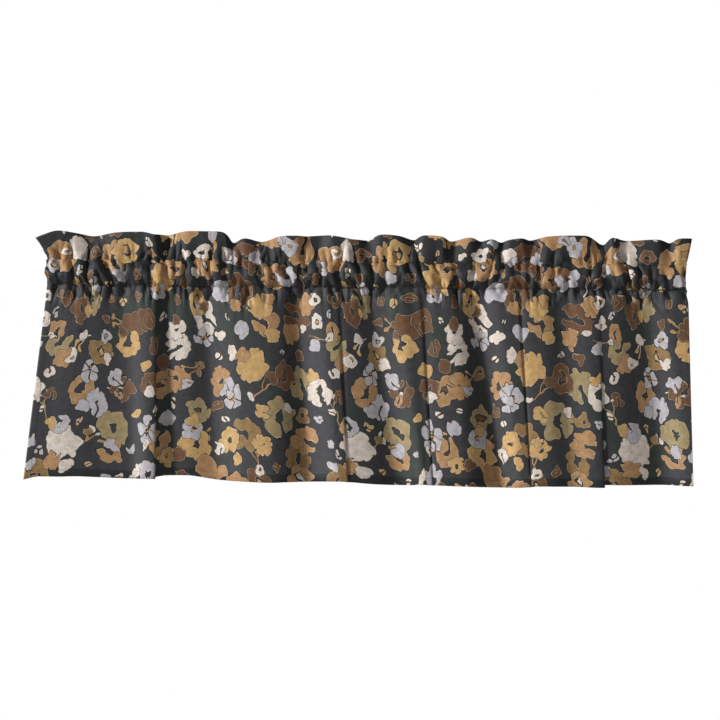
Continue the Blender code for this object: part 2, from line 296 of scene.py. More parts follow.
# %% [markdown]
# ## The cloth as it is first laid
#
# The panel's front is a stack of level rows of points, from the heading's top
# edge to the hem, and three functions place them. In the heading a row waves
# more the higher it stands, and its free corners lean outwards. In the pocket
# the front and the back wall arch away from the rod and puff out between the
# pinches. In the skirt each thread runs from its place at the pocket to its
# place at the hem, and the folds open on the way. We could sculpt these forms
# by hand, but rows drawn from tables can be set against the photograph one
# fold at a time.


# %% One row of the heading
def heading_row(up):
    """Points along the heading, from 0 at the upper stitch to 1 at its top."""
    knots = table_column(HEADING, 0)
    rise = rounded(knots, table_column(HEADING, 1), UPPER, True)
    depth = rounded(knots, table_column(HEADING, 2), UPPER, True)
    depth *= WAVE_AT_STITCH + (1 - WAVE_AT_STITCH) * up
    depth += RIPPLES * math.exp(-up * UPPER_STITCH / RIPPLE_REACH_UP)
    left = LEFT_FLARE * np.exp(-(UPPER - UPPER[0]) / FLARE_REACH)
    right = RIGHT_FLARE * np.exp(-(UPPER[-1] - UPPER) / FLARE_REACH)
    along = UPPER + (right - left) * up
    height = UPPER_STITCH * (up - 1) + rise * up**2
    return np.column_stack([along, -depth, height])


# %% One row of the skirt
def skirt_row(down):
    """Points along the skirt, from 0 at the lower stitch to 1 at the hem."""
    knots = table_column(FOLDS, 0)
    at_hem = rounded(knots, table_column(FOLDS, 1), LOWER, False)
    near = creased(rounded(knots, table_column(FOLDS, 2), LOWER, True), DEEPEST_AT_POCKET)
    far = creased(rounded(knots, table_column(FOLDS, 3), LOWER, True), DEEPEST_AT_HEM)
    rise = rounded(knots, table_column(FOLDS, 4), LOWER, True)
    length = DROP - LOWER_STITCH
    ripple = RIPPLES * math.exp(-down * length / RIPPLE_REACH_DOWN)
    along = LOWER + (at_hem - LOWER) * down
    depth = near + (far - near) * down**FOLD_OPENING + ripple
    height = -LOWER_STITCH - length * down + rise * down
    return np.column_stack([along, -depth, height])


# %% One row of the pocket, in front of the rod or behind it
def pocket_row(down, side):
    """Points along the pocket's front (side 1) or back wall (side -1), from 0
    at the upper stitch to 1 at the lower one."""
    upper_depth = -heading_row(0.0)[:, 1]
    lower_depth = -skirt_row(0.0)[:, 1]
    share = 1.0 if side > 0 else BACK_PUFF_SHARE
    arch = 1 - abs(2 * down - 1) ** POCKET_ARCH
    fading = np.exp(-(((down - FADES_AT) / PINCH_FADE_REACH) ** 2))
    faded = between_pinches(FADED * fading)
    from_above = upper_depth * (1 - down) ** STITCH_WAVE_POWER
    from_below = lower_depth * down**STITCH_WAVE_POWER
    depth = from_above + from_below + side * (PINCH_DEPTH + faded + share * PUFF) * arch
    along = UPPER + (LOWER - UPPER) * down
    height = -UPPER_STITCH - (LOWER_STITCH - UPPER_STITCH) * down
    return np.column_stack([along, -depth, np.full(len(along), height)])


# %% Lay out the front of the panel and the back wall of its pocket
HEADING_STEPS = 12
POCKET_STEPS = 13
TOP_STITCH = HEADING_STEPS
FOOT_STITCH = HEADING_STEPS + POCKET_STEPS
POCKET_MIDDLE = FOOT_STITCH - 6
ruffled = np.linspace(1.0, 0.0, HEADING_STEPS + 1)
pocketed = (1 - np.cos(np.linspace(0, math.pi, POCKET_STEPS + 1))) / 2
# Rows stand closer together just below the pocket, where the cloth puckers.
hung = np.concatenate([np.linspace(0, 0.13, 10)[1:], np.linspace(0.13, 1.0, 26)[1:]])
front = [heading_row(up) for up in ruffled]
front += [pocket_row(down, 1) for down in pocketed[1:]]
front += [skirt_row(down) for down in hung]
front = np.array(front)
back_wall = np.array([pocket_row(down, -1) for down in pocketed])
laid_front = front.copy()
laid_back = back_wall.copy()
pocket_run = round(run_of(front[POCKET_MIDDLE])[-1], 3)
print("front:", front.shape[:2], "points; the pocket's middle row is", pocket_run, "m long")

# %% [markdown]
# ## Letting the gathers find their own shape
#
# The pocket's rows above are still shorter than the flat panel, so there is
# too little cloth in the puffs. Blender's Cloth modifier could add it, but it
# hardly stirs on a grid as fine as three millimetres. So we use the method
# inside many cloth solvers, written out. Each pair of neighbouring points is
# moved until they are as far apart as in the flat cloth, over and over. The
# spare length then has to go somewhere, and it buckles into puckers. Points
# further apart may not come too close, which is how stiff cloth resists a
# sharp bend. The rod and the two seams hold everything in place.


# %% One rule: two points stay as far apart as in the flat cloth
def set_apart(one, other, rest, strength, only_push=False):
    """Moves two sets of points to their rest length, each by half."""
    way = other - one
    length = np.linalg.norm(way, axis=-1)
    error = length - rest
    if only_push:
        error = np.minimum(error, 0.0)
    way *= (strength * error / length / 2)[..., None]
    one += way
    other -= way


# %% The rule for all points of every row
def neighbours(points, rest, gap, strength, only_push=False, front=0):
    """Applies set_apart along each row to points that are gap columns apart.
    Pairs that share a point take turns. With a front (the sign of y there)
    it acts on ridges alone, so ridges stay round and valleys crease."""
    last = points.shape[1] - gap
    for first in range(2 * gap):
        one = points[:, first:last:2 * gap]
        other = points[:, first + gap::2 * gap]
        pull = strength
        if front:
            middle = points[:, first + gap // 2:last + gap // 2:2 * gap, 1]
            pull = strength * (front * (middle - (one[..., 1] + other[..., 1]) / 2) > 0)
        set_apart(one, other, rest[:, first:last:2 * gap], pull, only_push)


def over_columns(widths, gap):
    """The flat width of each run of gap columns."""
    return sum(widths[:, step:widths.shape[1] - gap + 1 + step] for step in range(gap))


# %% How stiff the cotton is
RIDGE_STIFFNESS = ((4, 0.88), (7, 0.78), (11, 0.66))  # columns apart, least share of flat width
RIDGE_STRENGTH = 0.4
LEAST_ACROSS, ACROSS_STRENGTH = 0.86, 0.3  # between points two columns apart
LEAST_DOWN, DOWN_STRENGTH = 0.98, 0.2  # between points two rows apart
SHEAR = 0.1  # cotton gives easily on the slant


def settle(points, widths, heights, front):
    """One round of the cloth's own rules."""
    turned = points.transpose(1, 0, 2)
    neighbours(points, widths, 1, 1.0)
    neighbours(turned, heights.T, 1, 1.0)
    for low in (0, 1):
        upper, lower = points[low:-1:2], points[low + 1::2]
        slant = np.hypot(widths[low:-1:2], heights[low::2, 1:])
        set_apart(upper[:, :-1], lower[:, 1:], slant, SHEAR)
        set_apart(upper[:, 1:], lower[:, :-1], slant, SHEAR)
    for gap, least in RIDGE_STIFFNESS:
        neighbours(points, over_columns(widths, gap) * least, gap, RIDGE_STRENGTH, True, front)
    neighbours(points, over_columns(widths, 2) * LEAST_ACROSS, 2, ACROSS_STRENGTH, True)
    neighbours(turned, over_columns(heights.T, 2) * LEAST_DOWN, 2, DOWN_STRENGTH, True)


# %% [markdown]
# ## How much cloth each row has to hold
#
# All of the panel's width has to be gathered at the rod. The heading's top
# edge and the lower part of the skirt keep the waves that the tables give
# instead, so that their outline stays that of the photograph. So each row gets
# a fullness: 0 keeps its laid length, 1 asks for the flat panel's. The pocket
# asks for a little more than 1, because a limited number of rounds never quite
# reaches its goal.

# %% Fullness from the heading down to the skirt
HEADING_FULLNESS = 1.2
POCKET_FULLNESS = 1.3
GATHERS_FADE = 64 * MM  # below the lower stitch
below_stitch = front[FOOT_STITCH, 0, 2] - front[FOOT_STITCH:, :, 2].mean(axis=1)
fade = np.clip(1 - below_stitch / GATHERS_FADE, 0, 1)
fullness = np.ones(len(front))
fullness[:TOP_STITCH + 1] = HEADING_FULLNESS * np.linspace(0.0, 1.0, TOP_STITCH + 1) ** 1.5
fullness[FOOT_STITCH:] = fade * fade * (3 - 2 * fade)
fullness[TOP_STITCH + 1:FOOT_STITCH] = POCKET_FULLNESS
print("rows that are gathered:", int((fullness > 0).sum()), "of", len(front))


# %% The rest lengths across and down the cloth
def flat_heights(points):
    """The distance from each row to the next, the same all along the row."""
    row_gaps = np.linalg.norm(np.diff(points, axis=0), axis=2)
    return np.repeat(np.median(row_gaps, axis=1)[:, None], points.shape[1], axis=1)


flat_widths = np.diff(ACROSS)
laid_widths = np.linalg.norm(np.diff(front, axis=1), axis=2)
front_widths = laid_widths + (flat_widths - laid_widths) * fullness[:, None]
back_widths = np.repeat(flat_widths[None, :], len(back_wall), axis=0)
front_heights = flat_heights(front)
back_heights = flat_heights(back_wall)
# The heading's edge dips where it leans over, which takes no length from it.
front_heights[:TOP_STITCH] = np.linalg.norm(np.diff(front[:TOP_STITCH + 1], axis=0), axis=2)
print("rows are", round(front_heights.mean() * 1000, 1), "mm apart on average")

# %% [markdown]
# ## Soft creases to start from
#
# A perfectly even puff would buckle evenly, like a machine pleat. Cotton that
# has been pushed along a rod by hand does not. A few soft slanting creases,
# strewn by chance with a fixed seed, tell the spare cloth where to go first.

# %% Press soft creases into the front of the pocket
CREASES = 160
CREASE_DEPTH = 5.5 * MM
CREASE_SLANTS = (0.3, 2.4)  # in columns to a row
CREASE_WIDTHS = (1.5, 3.5)  # in columns
CREASE_MIDDLES = (2, 10)  # in rows below the upper stitch
CREASE_REACH = 4  # in rows
crease_chance = np.random.default_rng(5)
columns = np.arange(front.shape[1])
below_top = np.arange(FOOT_STITCH - TOP_STITCH - 1)[:, None]
for _ in range(CREASES):
    start = crease_chance.uniform(-10, len(columns) + 10)
    slant = crease_chance.choice([-1, 1]) * crease_chance.uniform(*CREASE_SLANTS)
    beside = (columns - start - slant * (below_top - 6)) / crease_chance.uniform(*CREASE_WIDTHS)
    beyond = (below_top - crease_chance.uniform(*CREASE_MIDDLES)) / CREASE_REACH
    bump = crease_chance.normal(0, CREASE_DEPTH) * np.exp(-beside**2) * np.exp(-(beyond**2))
    front[TOP_STITCH + 1:FOOT_STITCH, :, 1] -= bump
print("pressed", CREASES, "soft creases")

# %% [markdown]
# ## The rounds of gathering
#
# Each round lets the cloth obey its own rules and then puts back what holds
# it: the thread in both seams, the rod inside the pocket, the weight of the
# skirt, and a limit on how far a puff may stand out. At the seams the front
# and the back wall are one, so their points are moved together.

# %% What holds the cloth in place
ROUNDS = 220
ROD_RADIUS = 8.8 * MM  # a 16 mm rod with a little room round it
HEADING_HOLD = 0.02  # the share of its way that a point goes back each round
SEAM_HOLD = (0.15, 0.03, 0.6)  # across, in depth and in height
FRONT_GIVES = (7 * MM, 9 * MM)  # the most that the front goes out, and in
BACK_GIVES = (8 * MM, 5 * MM)  # the most that the back wall goes in, and out
rod_height = -(UPPER_STITCH + LOWER_STITCH) / 2
seams = ((TOP_STITCH, 0), (FOOT_STITCH, -1))
seam_lines = [(front[here] + back_wall[there]) / 2 for here, there in seams]
hold = np.zeros(len(front))
hold[:TOP_STITCH] = HEADING_HOLD
hold[FOOT_STITCH:] = (1 - fullness[FOOT_STITCH:]) ** 2


def around_rod(wall):
    """How far in front of or behind the rod's axis each point has to stay."""
    return np.sqrt(np.maximum(ROD_RADIUS**2 - (wall[..., 2] - rod_height) ** 2, 0))


def keep_near(wall, laid, gives):
    """Keeps every point's depth within its limits of where it was laid."""
    wall[..., 1] = np.clip(wall[..., 1], laid[..., 1] - gives[0], laid[..., 1] + gives[1])


# %% Gather the cloth on its rod
for _ in range(ROUNDS):
    settle(front, front_widths, front_heights, -1)
    settle(back_wall, back_widths, back_heights, 1)
    front += (laid_front - front) * hold[:, None, None]
    for (here, there), line in zip(seams, seam_lines):
        seam = (front[here] + back_wall[there]) / 2
        seam += (line - seam) * SEAM_HOLD
        front[here] = back_wall[there] = seam
    for wall, side in ((front[TOP_STITCH + 1:FOOT_STITCH], -1), (back_wall[1:-1], 1)):
        wall[..., 1] = side * np.maximum(side * wall[..., 1], around_rod(wall))
    keep_near(front, laid_front, FRONT_GIVES)
    keep_near(back_wall, laid_back, BACK_GIVES)
# Cotton has no corners of one column's width, so a light smoothing takes them out.
for wall, passes in ((front[:TOP_STITCH], 2), (front[TOP_STITCH:], 1), (back_wall, 1)):
    for _ in range(passes):
        wall[:, 1:-1] = (wall[:, :-2] + 4 * wall[:, 1:-1] + wall[:, 2:]) / 6
moved = np.linalg.norm(front - laid_front, axis=2)[TOP_STITCH:FOOT_STITCH].mean()
print("gathers moved the pocket by", round(moved * 1000, 1), "mm on average")

# %% [markdown]
# ## Sharp creases
#
# The rules above round the cloth off a little more than cotton likes. Where
# a thread pulls it together it breaks into short sharp creases, which fan out
# from the stitches up into the heading and down into the skirt. They are
# pressed in last: each is a narrow groove, or now and then a ridge, that runs
# a centimetre or two at a slant and fades out at both ends.

# %% Press sharp creases in along both stitch lines
SHARP_CREASES = 400
SHARP_DEPTH = 4.8 * MM
SHARP_KINDS = (1.0, 0.6, -0.5)  # two grooves to each ridge
SHARP_SPREAD = 11 * MM  # above and below a stitch line
SHARP_SLANT = 0.55
SHARP_WIDTHS = (2.2 * MM, 4 * MM)
SHARP_REACHES = (6 * MM, 19 * MM)
SEWN_LINES = (UPPER_STITCH, LOWER_STITCH, LOWER_STITCH)  # the lower one has twice as many
height_on_cloth = laid_front[..., 2]
for _ in range(SHARP_CREASES):
    middle_across = crease_chance.uniform(0, FLAT_WIDTH)
    stitch_line = crease_chance.choice(SEWN_LINES)
    middle_height = crease_chance.normal(0, SHARP_SPREAD) - stitch_line
    slant = crease_chance.normal(0, SHARP_SLANT)
    above_middle = height_on_cloth - middle_height
    aside = (ACROSS - middle_across - slant * above_middle) / crease_chance.uniform(*SHARP_WIDTHS)
    beyond = above_middle / crease_chance.uniform(*SHARP_REACHES)
    depth = SHARP_DEPTH * crease_chance.choice(SHARP_KINDS)
    front[..., 1] += depth * np.exp(-(aside**2) - beyond**2)
pocket_front = front[TOP_STITCH + 1:FOOT_STITCH]
pocket_front[..., 1] = -np.maximum(-pocket_front[..., 1], around_rod(pocket_front))
back_wall[0] = front[TOP_STITCH]
back_wall[-1] = front[FOOT_STITCH]
pocket_run = round(run_of(front[POCKET_MIDDLE])[-1], 3)
print("the pocket's middle row is now", pocket_run, "m long, of", FLAT_WIDTH)

# %% [markdown]
# ## One length of cloth, from the back of the pocket to the hem
#
# Seen from its side edge the panel is one long path: it starts at the lower
# stitch behind the pocket, climbs the pocket's back wall and the back of the
# heading, turns over the top, and comes down the front to the hem, where it
# turns up to the back again. Separate front and back meshes would be simpler,
# but building the rows in that order keeps the print running over every turn,
# as it does on the real one.


# %% Two layers that lie together
LAYER_GAP = 1.1 * MM  # between the middles of the two
HALF_GAP = LAYER_GAP / 2


def to_the_front(row):
    """Level unit vectors square to a row of points, towards the front."""
    along = np.gradient(row[:, 0])
    back = np.gradient(row[:, 1])
    size = np.hypot(along, back)
    return np.column_stack([back / size, -along / size, np.zeros(len(row))])


def moved_out(row, distance):
    """A row moved towards the front, or towards the back if below 0."""
    return row + to_the_front(row) * distance


# %% Lay the rows of the panel in order
HEM_STEPS = 3
first_row = front[FOOT_STITCH + 1] * 0.5 + front[FOOT_STITCH] * 0.5
rows = [moved_out(first_row, -HALF_GAP)]
rows += [moved_out(row, -HALF_GAP) for row in back_wall[::-1]]
rows += [moved_out(row, -HALF_GAP) for row in front[:TOP_STITCH][::-1]]
top_edge = len(rows)
rows.append(front[0] + (0, 0, HALF_GAP))
rows += [moved_out(row, HALF_GAP) for row in front]
hem_edge = len(rows)
rows.append(front[-1] - (0, 0, 0.3 * MM))
for up in np.linspace(0.0, HEM_DEPTH / (DROP - LOWER_STITCH), HEM_STEPS + 1):
    rows.append(moved_out(skirt_row(1.0 - up), -HALF_GAP))
rows = np.array(rows)
# The heading's edge at the middle of the width is the frame's height 0.
rows[:, :, 2] -= np.interp(0.0, laid_front[0][:, 0], laid_front[0][:, 2])
row_gaps = np.linalg.norm(np.diff(rows, axis=0), axis=2)
down_cloth = np.concatenate([[0.0], np.cumsum(np.median(row_gaps, axis=1))])
down_cloth -= down_cloth[top_edge]
print("panel grid:", rows.shape[0], "rows of", rows.shape[1], "points")
print("flat length:", round(down_cloth[-1] - down_cloth[0], 3), "m")

# %% [markdown]
# ## Cloth with two faces
#
# Only one face of a screen-printed cotton takes the ink. The reverse stays
# pale, and the print shows through it as a ghost. So the panel is a closed
# sheet half a millimetre thick, with a printed face, a reverse face and cut
# edges. A Solidify modifier would give the thickness too. Laying both faces
# out one by one gives each its own place on the map that the print is baked to.
#
# The print and the weave belong to the flat cloth, so each point also needs
# its place there: its column across the panel and its length down it. With
# these two lengths as UV coordinates, a blossom is squeezed in the gathers
# and spreads out in the skirt, as it does in real cloth.

# %% The quads of a sheet and of its cut edge
THICKNESS = 0.5 * MM
PRINTED, REVERSE = 0, 1


def sheet_quads(rows, columns, turned_over):
    """The quads of a grid of points. The first turned_over rows of them lie
    upside down behind the others."""
    number = np.arange(rows * columns).reshape(rows, columns)
    corners = [number[:-1, :-1], number[1:, :-1], number[1:, 1:], number[:-1, 1:]]
    quads = np.stack(corners, axis=-1).reshape(-1, 4)
    # A twisted quad bends along the diagonal from its first corner. Layers that
    # lie together share that diagonal, so they never cut through one another.
    behind = turned_over * (columns - 1)
    quads[:behind] = np.roll(quads[:behind], -1, axis=1)
    return quads


def edge_quads(rows, columns):
    """Quads that join the printed face to the reverse all the way round."""
    number = np.arange(rows * columns).reshape(rows, columns)
    rim = np.concatenate([number[0], number[1:, -1], number[-1, -2::-1], number[-2::-1, 0]])
    corners = [rim[:-1], rim[1:], rim[1:] + number.size, rim[:-1] + number.size]
    return np.stack(corners, axis=-1)


# %% Where both faces lie on the baked map
def baked_places(places, low, high, printed_share):
    """Places on the map between its corners low and high. The printed face
    takes printed_share of the height there, and the reverse the rest."""
    low, high = np.array(low), np.array(high)
    share = (places - places.min(axis=0)) / np.ptp(places, axis=0)
    printed = low + share * ((high - low) * (1, printed_share))
    above = low + (high - low) * (0, printed_share)
    reverse = above + share * (high - low) * (1, 1 - printed_share)
    return np.concatenate([printed, reverse])


# %% A closed thin sheet from rows of points
def outward(points):
    """Unit vectors square to a sheet of points, away from its printed face."""
    over = np.gradient(points, axis=1)
    under = np.gradient(points, axis=0)
    square = np.cross(under, over)
    return square / np.linalg.norm(square, axis=-1, keepdims=True)


def closed_sheet(points, across, down, bake_to, turned_over=0):
    """The points of both faces, the quads, and for each quad its material and
    its corners' places in the flat cloth and on the baked map."""
    square = outward(points) * THICKNESS / 2
    both = [(points + square).reshape(-1, 3), (points - square).reshape(-1, 3)]
    printed = sheet_quads(*points.shape[:2], turned_over)
    reverse = printed[:, [0, 3, 2, 1]] + len(both[0])
    edges = edge_quads(*points.shape[:2])
    quads = np.concatenate([printed, reverse, edges])
    counts = [len(printed), len(reverse), len(edges)]
    materials = np.repeat([PRINTED, REVERSE, REVERSE], counts)
    places = np.stack(np.broadcast_arrays(across[None, :], down[:, None]), axis=-1).reshape(-1, 2)
    flat_places = np.concatenate([places, places])[quads]
    return np.concatenate(both), quads, materials, flat_places, baked_places(places, *bake_to)[quads]


# %% [markdown]
# ## Side hems
#
# Each side edge is turned to the back and sewn down before anything else is
# sewn. From the front only its stitches show; from behind it is a narrow
# second layer, lying close against the skirt. The panel's own rows could turn
# round the edge, but a narrow sheet of its own is easier to lay.

# %% Turn the side hems
SIDE_HEM = 12 * MM
skirt_from = top_edge + 1 + FOOT_STITCH + 2
skirt_rows = slice(skirt_from, hem_edge - 1)
behind = rows - outward(rows) * LAYER_GAP
hem_columns = int(np.searchsorted(ACROSS, SIDE_HEM)) + 1
left_hem = behind[skirt_rows, :hem_columns][:, ::-1]
right_hem = behind[skirt_rows, -hem_columns:][:, ::-1]
left_across = -ACROSS[:hem_columns][::-1]
right_across = ACROSS[:hem_columns] + FLAT_WIDTH
down_skirt = down_cloth[skirt_rows]
print("a side hem is", hem_columns, "columns wide")

# %% Make the panel's mesh
on_map = ((0.0, 0.0), (1.0, 0.95), 0.65)
left_on_map = ((0.0, 0.955), (0.49, 0.995), 0.5)
right_on_map = ((0.5, 0.955), (0.99, 0.995), 0.5)
parts = [
    closed_sheet(rows, ACROSS, down_cloth, on_map, top_edge),
    closed_sheet(left_hem, left_across, down_skirt, left_on_map),
    closed_sheet(right_hem, right_across, down_skirt, right_on_map),
]
starts = np.cumsum([0] + [len(part[0]) for part in parts])
points = np.concatenate([part[0] for part in parts])
quads = np.concatenate([part[1] + start for part, start in zip(parts, starts)])
cloth_mesh = bpy.data.meshes.new("valance_cloth")
cloth_mesh.from_pydata(points.tolist(), [], quads.tolist())
cloth_mesh.polygons.foreach_set("material_index", np.concatenate([part[2] for part in parts]))
for map_name, place in (("flat_cloth", 3), ("OFBake", 4)):
    uv_map = cloth_mesh.uv_layers.new(name=map_name)
    uv_map.uv.foreach_set("vector", np.concatenate([part[place] for part in parts]).ravel())
cloth_mesh.shade_smooth()
cloth = bpy.data.objects.new("valance_cloth", cloth_mesh)
bpy.context.scene.collection.objects.link(cloth)
print("cloth triangles:", 2 * len(cloth_mesh.polygons))

# %% [markdown]
# ## Colours and nodes
#
# Colours are written as the hex values that a paint chart would give. Blender
# works in linear light, so one function turns them. Another small function
# adds a node with its settings and links, so a material reads as a list of
# steps.


# %% Helpers for materials
def linear(hex_colour):
    """An sRGB hex colour as the linear colour that Blender works with."""
    channels = [int(hex_colour[i : i + 2], 16) / 255 for i in (1, 3, 5)]
    return (*(c / 12.92 if c <= 0.04045 else ((c + 0.055) / 1.055) ** 2.4 for c in channels), 1.0)


def add(tree, kind, *values, named=None, **settings):
    """Adds a shader node with its settings, then fills its sockets, in order
    or by name, with values or with links from other nodes."""
    node = tree.nodes.new("ShaderNode" + kind)
    for setting, value in settings.items():
        setattr(node, setting, value)
    for socket, value in [*enumerate(values), *(named or {}).items()]:
        if isinstance(value, bpy.types.Node):
            value = value.outputs[0]
        if isinstance(value, bpy.types.NodeSocket):
            tree.links.new(value, node.inputs[socket])
        else:
            node.inputs[socket].default_value = value
    return node


# %% [markdown]
# ## The inks
#
# Pigment inks are pushed through screens on to bleached cotton, one screen to
# each colour. Seven inks on a slate ground are enough here. Where the cloth is
# single, light from behind would shine through it, so that light is painted
# into the ground: a painted backlight makes the slate lighter and a little
# greenish in soft patches. Where the cloth lies double the ground is painted
# darker, as painted shade. An ink picked straight off the photograph would take
# the shadows along, so each was adjusted until the lit render came near.

# %% The ground with its painted backlight and shade, and the inks
# The cloth's slate ground with painted backlight: lighter where the cloth is single, as if lit through
# from behind.
SLATE_WITH_PAINTED_BACKLIGHT = linear("#3c3c3f")
# Painted backlight: greenish light from behind, in soft patches on single cloth.
PAINTED_GREEN_BACKLIGHT = linear("#363d39")
# Painted shade: the slate where the cloth lies double and no light comes through.
DOUBLE_SLATE_PAINTED_SHADE = linear("#2e2f31")
UNPRINTED = linear("#b9aea4")
KEYLINE = linear("#1d1f21")
PALE_RIM = linear("#ecd6b8")
INKS = {
    "camel": linear("#b68c61"),
    "gold": linear("#cda66c"),
    "brown": linear("#704f36"),
    "tan": linear("#95774b"),
    "cream": linear("#e2d5c9"),
    "lavender": linear("#bebac0"),
    "khaki": linear("#a5926a"),
}
INK_NAMES = list(INKS)
HEART_INKS = ("camel", "brown", "gold", "cream")
CAMEL, GOLD, BROWN, TAN, CREAM, LAVENDER, KHAKI = range(len(INKS))
print(len(INKS), "inks on a slate ground")

# %% [markdown]
# ## Strewing the flowers
#
# A printed cloth carries a repeat: one block of design that the screens lay
# down again and again. Ours comes again every 64 cm, which is a common size
# of screen. It holds large open blossoms that overlap in twos and
# threes, smaller flowers in the gaps, buds, and forked twigs. A drawn image
# would be the usual way. Here the flowers are our own and are strewn by chance
# with a fixed seed, and each needs only a few numbers: where it lies, its
# radius, how many petals it has, how deeply they are notched, and its inks.

# %% One repeat, with all lengths in mm
REPEAT = 640.0
PRINT_TOP, PRINT_FOOT = -165.0, 480.0
FAR_OFF = 300.0
print_chance = np.random.default_rng(11)


def apart(x, y, others):
    """Gaps between a place and the rims of flowers, over the repeat's joins."""
    across_by = (others[:, 0] - x + REPEAT / 2) % REPEAT - REPEAT / 2
    return np.hypot(across_by, others[:, 1] - y) - others[:, 2]


def try_place(radius, near, reach):
    """A place anywhere in the repeat, or beside one of the flowers near."""
    x = print_chance.uniform(0, REPEAT)
    y = print_chance.uniform(PRINT_TOP, PRINT_FOOT)
    if near is not None:
        partner = near[print_chance.integers(len(near))]
        way = print_chance.uniform(0, 2 * math.pi)
        away = (partner[2] + radius) * print_chance.uniform(*reach)
        x = partner[0] + away * math.cos(way)
        y = partner[1] + away * math.sin(way)
    return x, y


# %% Strew one kind of flower
def strew(
    count, radii, clear, inks, petals, notch,
    near=None, reach=(0, 0), keep_off=None, tries=60, placed=None,
):
    """Places flowers one by one, each at the best of some tries, and returns
    rows of x, y, radius, petals, notch, ink number and heart-ink number."""
    placed = np.empty((0, 7)) if placed is None else placed
    for _ in range(count):
        radius = print_chance.uniform(*radii)
        best, best_gap = None, 0.0
        for _ in range(tries):
            x, y = try_place(radius, near, reach)
            gap = apart(x, y, placed).min(initial=FAR_OFF) - radius - clear
            if keep_off is not None:
                gap = min(gap, apart(x, y, keep_off[0]).min() - radius - keep_off[1])
            if gap > best_gap:
                best, best_gap = (x, y), gap
        if best:
            ink = print_chance.integers(len(inks))
            heart = print_chance.integers(len(HEART_INKS))
            how_many = print_chance.integers(petals[0], petals[1] + 1)
            notched = print_chance.uniform(*notch)
            row = (*best, radius, how_many, notched, inks[ink], heart)
            placed = np.vstack([placed, row])
    return placed


# %% The large blossoms and the partners that overlap them
large_inks = (BROWN, CAMEL, TAN, GOLD, BROWN, CREAM, KHAKI, TAN, CAMEL)
large = strew(48, (26, 36), 5, large_inks, (5, 8), (0.18, 0.3))
partner_inks = (CAMEL, GOLD, CREAM, LAVENDER, GOLD, BROWN, LAVENDER, CAMEL)
partners = strew(
    72, (16, 29), 4, partner_inks, (4, 6), (0.2, 0.36), near=large, reach=(0.5, 0.78),
)
big = np.vstack([large, partners])
print("in a repeat:", len(large), "large blossoms and", len(partners), "partners")

# %% Small flowers on the big ones and in their gaps, buds and twigs
on_big_inks = (LAVENDER, CREAM, CREAM, GOLD, BROWN, CAMEL)
small = strew(72, (8, 15), 5, on_big_inks, (3, 5), (0.25, 0.45), near=big, reach=(0.4, 0.85))
in_gap_inks = (LAVENDER, CREAM, GOLD, BROWN, BROWN, TAN)
small = strew(
    52, (8, 17), 7, in_gap_inks, (2, 4), (0.3, 0.45), keep_off=(big, -4), tries=200, placed=small,
)
flowers_so_far = np.vstack([big, small])
bud_inks = (CREAM, LAVENDER, GOLD, CREAM)
buds = strew(
    26, (6, 10), 8, bud_inks, (2, 3), (0.45, 0.65), keep_off=(flowers_so_far, -1), tries=200,
)
twig_inks = (CREAM, TAN, KHAKI, CAMEL)
twigs = strew(30, (17, 27), 4, twig_inks, (2, 3), (0, 0), near=big, reach=(0.9, 1.05))
print("and", len(small), "small flowers,", len(buds), "buds,", len(twigs), "twigs")

# %% [markdown]
# ## Telling the cloth which flower lies where
#
# A shader sees one point at a time and can't search a list of flowers. So the
# mesh carries the answer: each face knows the nearest flower of every screen,
# with its form and its inks, and each corner knows its place as seen from that
# flower's middle. A mask painted as an image would do the same, but it would
# blur close up, and these few numbers stay sharp at any distance.


# %% The nearest flower, and a corner's place from its middle
def nearest_flowers(corners, flowers):
    """For each face the nearest flower's number, and where its middle is."""
    middles = corners.mean(axis=1)
    across_by = (middles[:, None, 0] - flowers[None, :, 0] + REPEAT / 2) % REPEAT - REPEAT / 2
    down_by = middles[:, None, 1] - flowers[None, :, 1]
    nearest = np.argmin(np.hypot(across_by, down_by) - flowers[None, :, 2], axis=1)
    faces = np.arange(len(middles))
    centres = middles - np.column_stack([across_by[faces, nearest], down_by[faces, nearest]])
    return nearest, centres


def seen_from_flower(corners, centres, turn, narrow):
    """Each corner's place from its flower's middle, turned and narrowed."""
    way = corners - centres[:, None, :]
    along = way[..., 0] * np.cos(turn)[:, None] + way[..., 1] * np.sin(turn)[:, None]
    aside = way[..., 1] * np.cos(turn)[:, None] - way[..., 0] * np.sin(turn)[:, None]
    return np.stack([along, aside / narrow[:, None], np.zeros_like(along)], axis=-1)


# %% The form and inks that each flower draws by lot
SHUT = -1.0  # for a middle or a wedge that isn't open


def flower_forms(flowers, open_share, cut_share, star_share, slit):
    """For each flower three rows of three numbers, which the print reads:
    radius, petals, notch; middle, wedge, slit; seed, dab, star."""
    lot = print_chance.uniform(size=(len(flowers), 6))
    star = lot[:, 0] < star_share
    cut = ~star & (lot[:, 3] < cut_share)
    middle = np.where(star | cut | (lot[:, 1] < open_share), 0.24 + 0.16 * lot[:, 2], SHUT)
    middle[cut] *= 0.8
    wedge = np.where(cut, 0.14 + 0.22 * lot[:, 4], SHUT)
    petals = np.where(star, 5, flowers[:, 3])
    notch = np.where(star, 0.36, flowers[:, 4])
    dab = np.where((lot[:, 2] > 0.5) & ~cut, 0.6, 0.0)
    form = np.column_stack([flowers[:, 2], petals, notch])
    openings = np.column_stack([middle, wedge, np.where(star, 1.6, slit)])
    return form, openings, np.column_stack([lot[:, 5], dab, star])


def flower_inks(flowers, star):
    """Each flower's ink and the ink of its heart. Stars are lavender."""
    ink = np.array([INKS[INK_NAMES[int(number)]] for number in flowers[:, 5]])
    heart_ink = np.array([INKS[HEART_INKS[int(number)]] for number in flowers[:, 6]])
    ink[star] = INKS["lavender"]
    heart_ink[star] = INKS["gold"]
    return ink, heart_ink


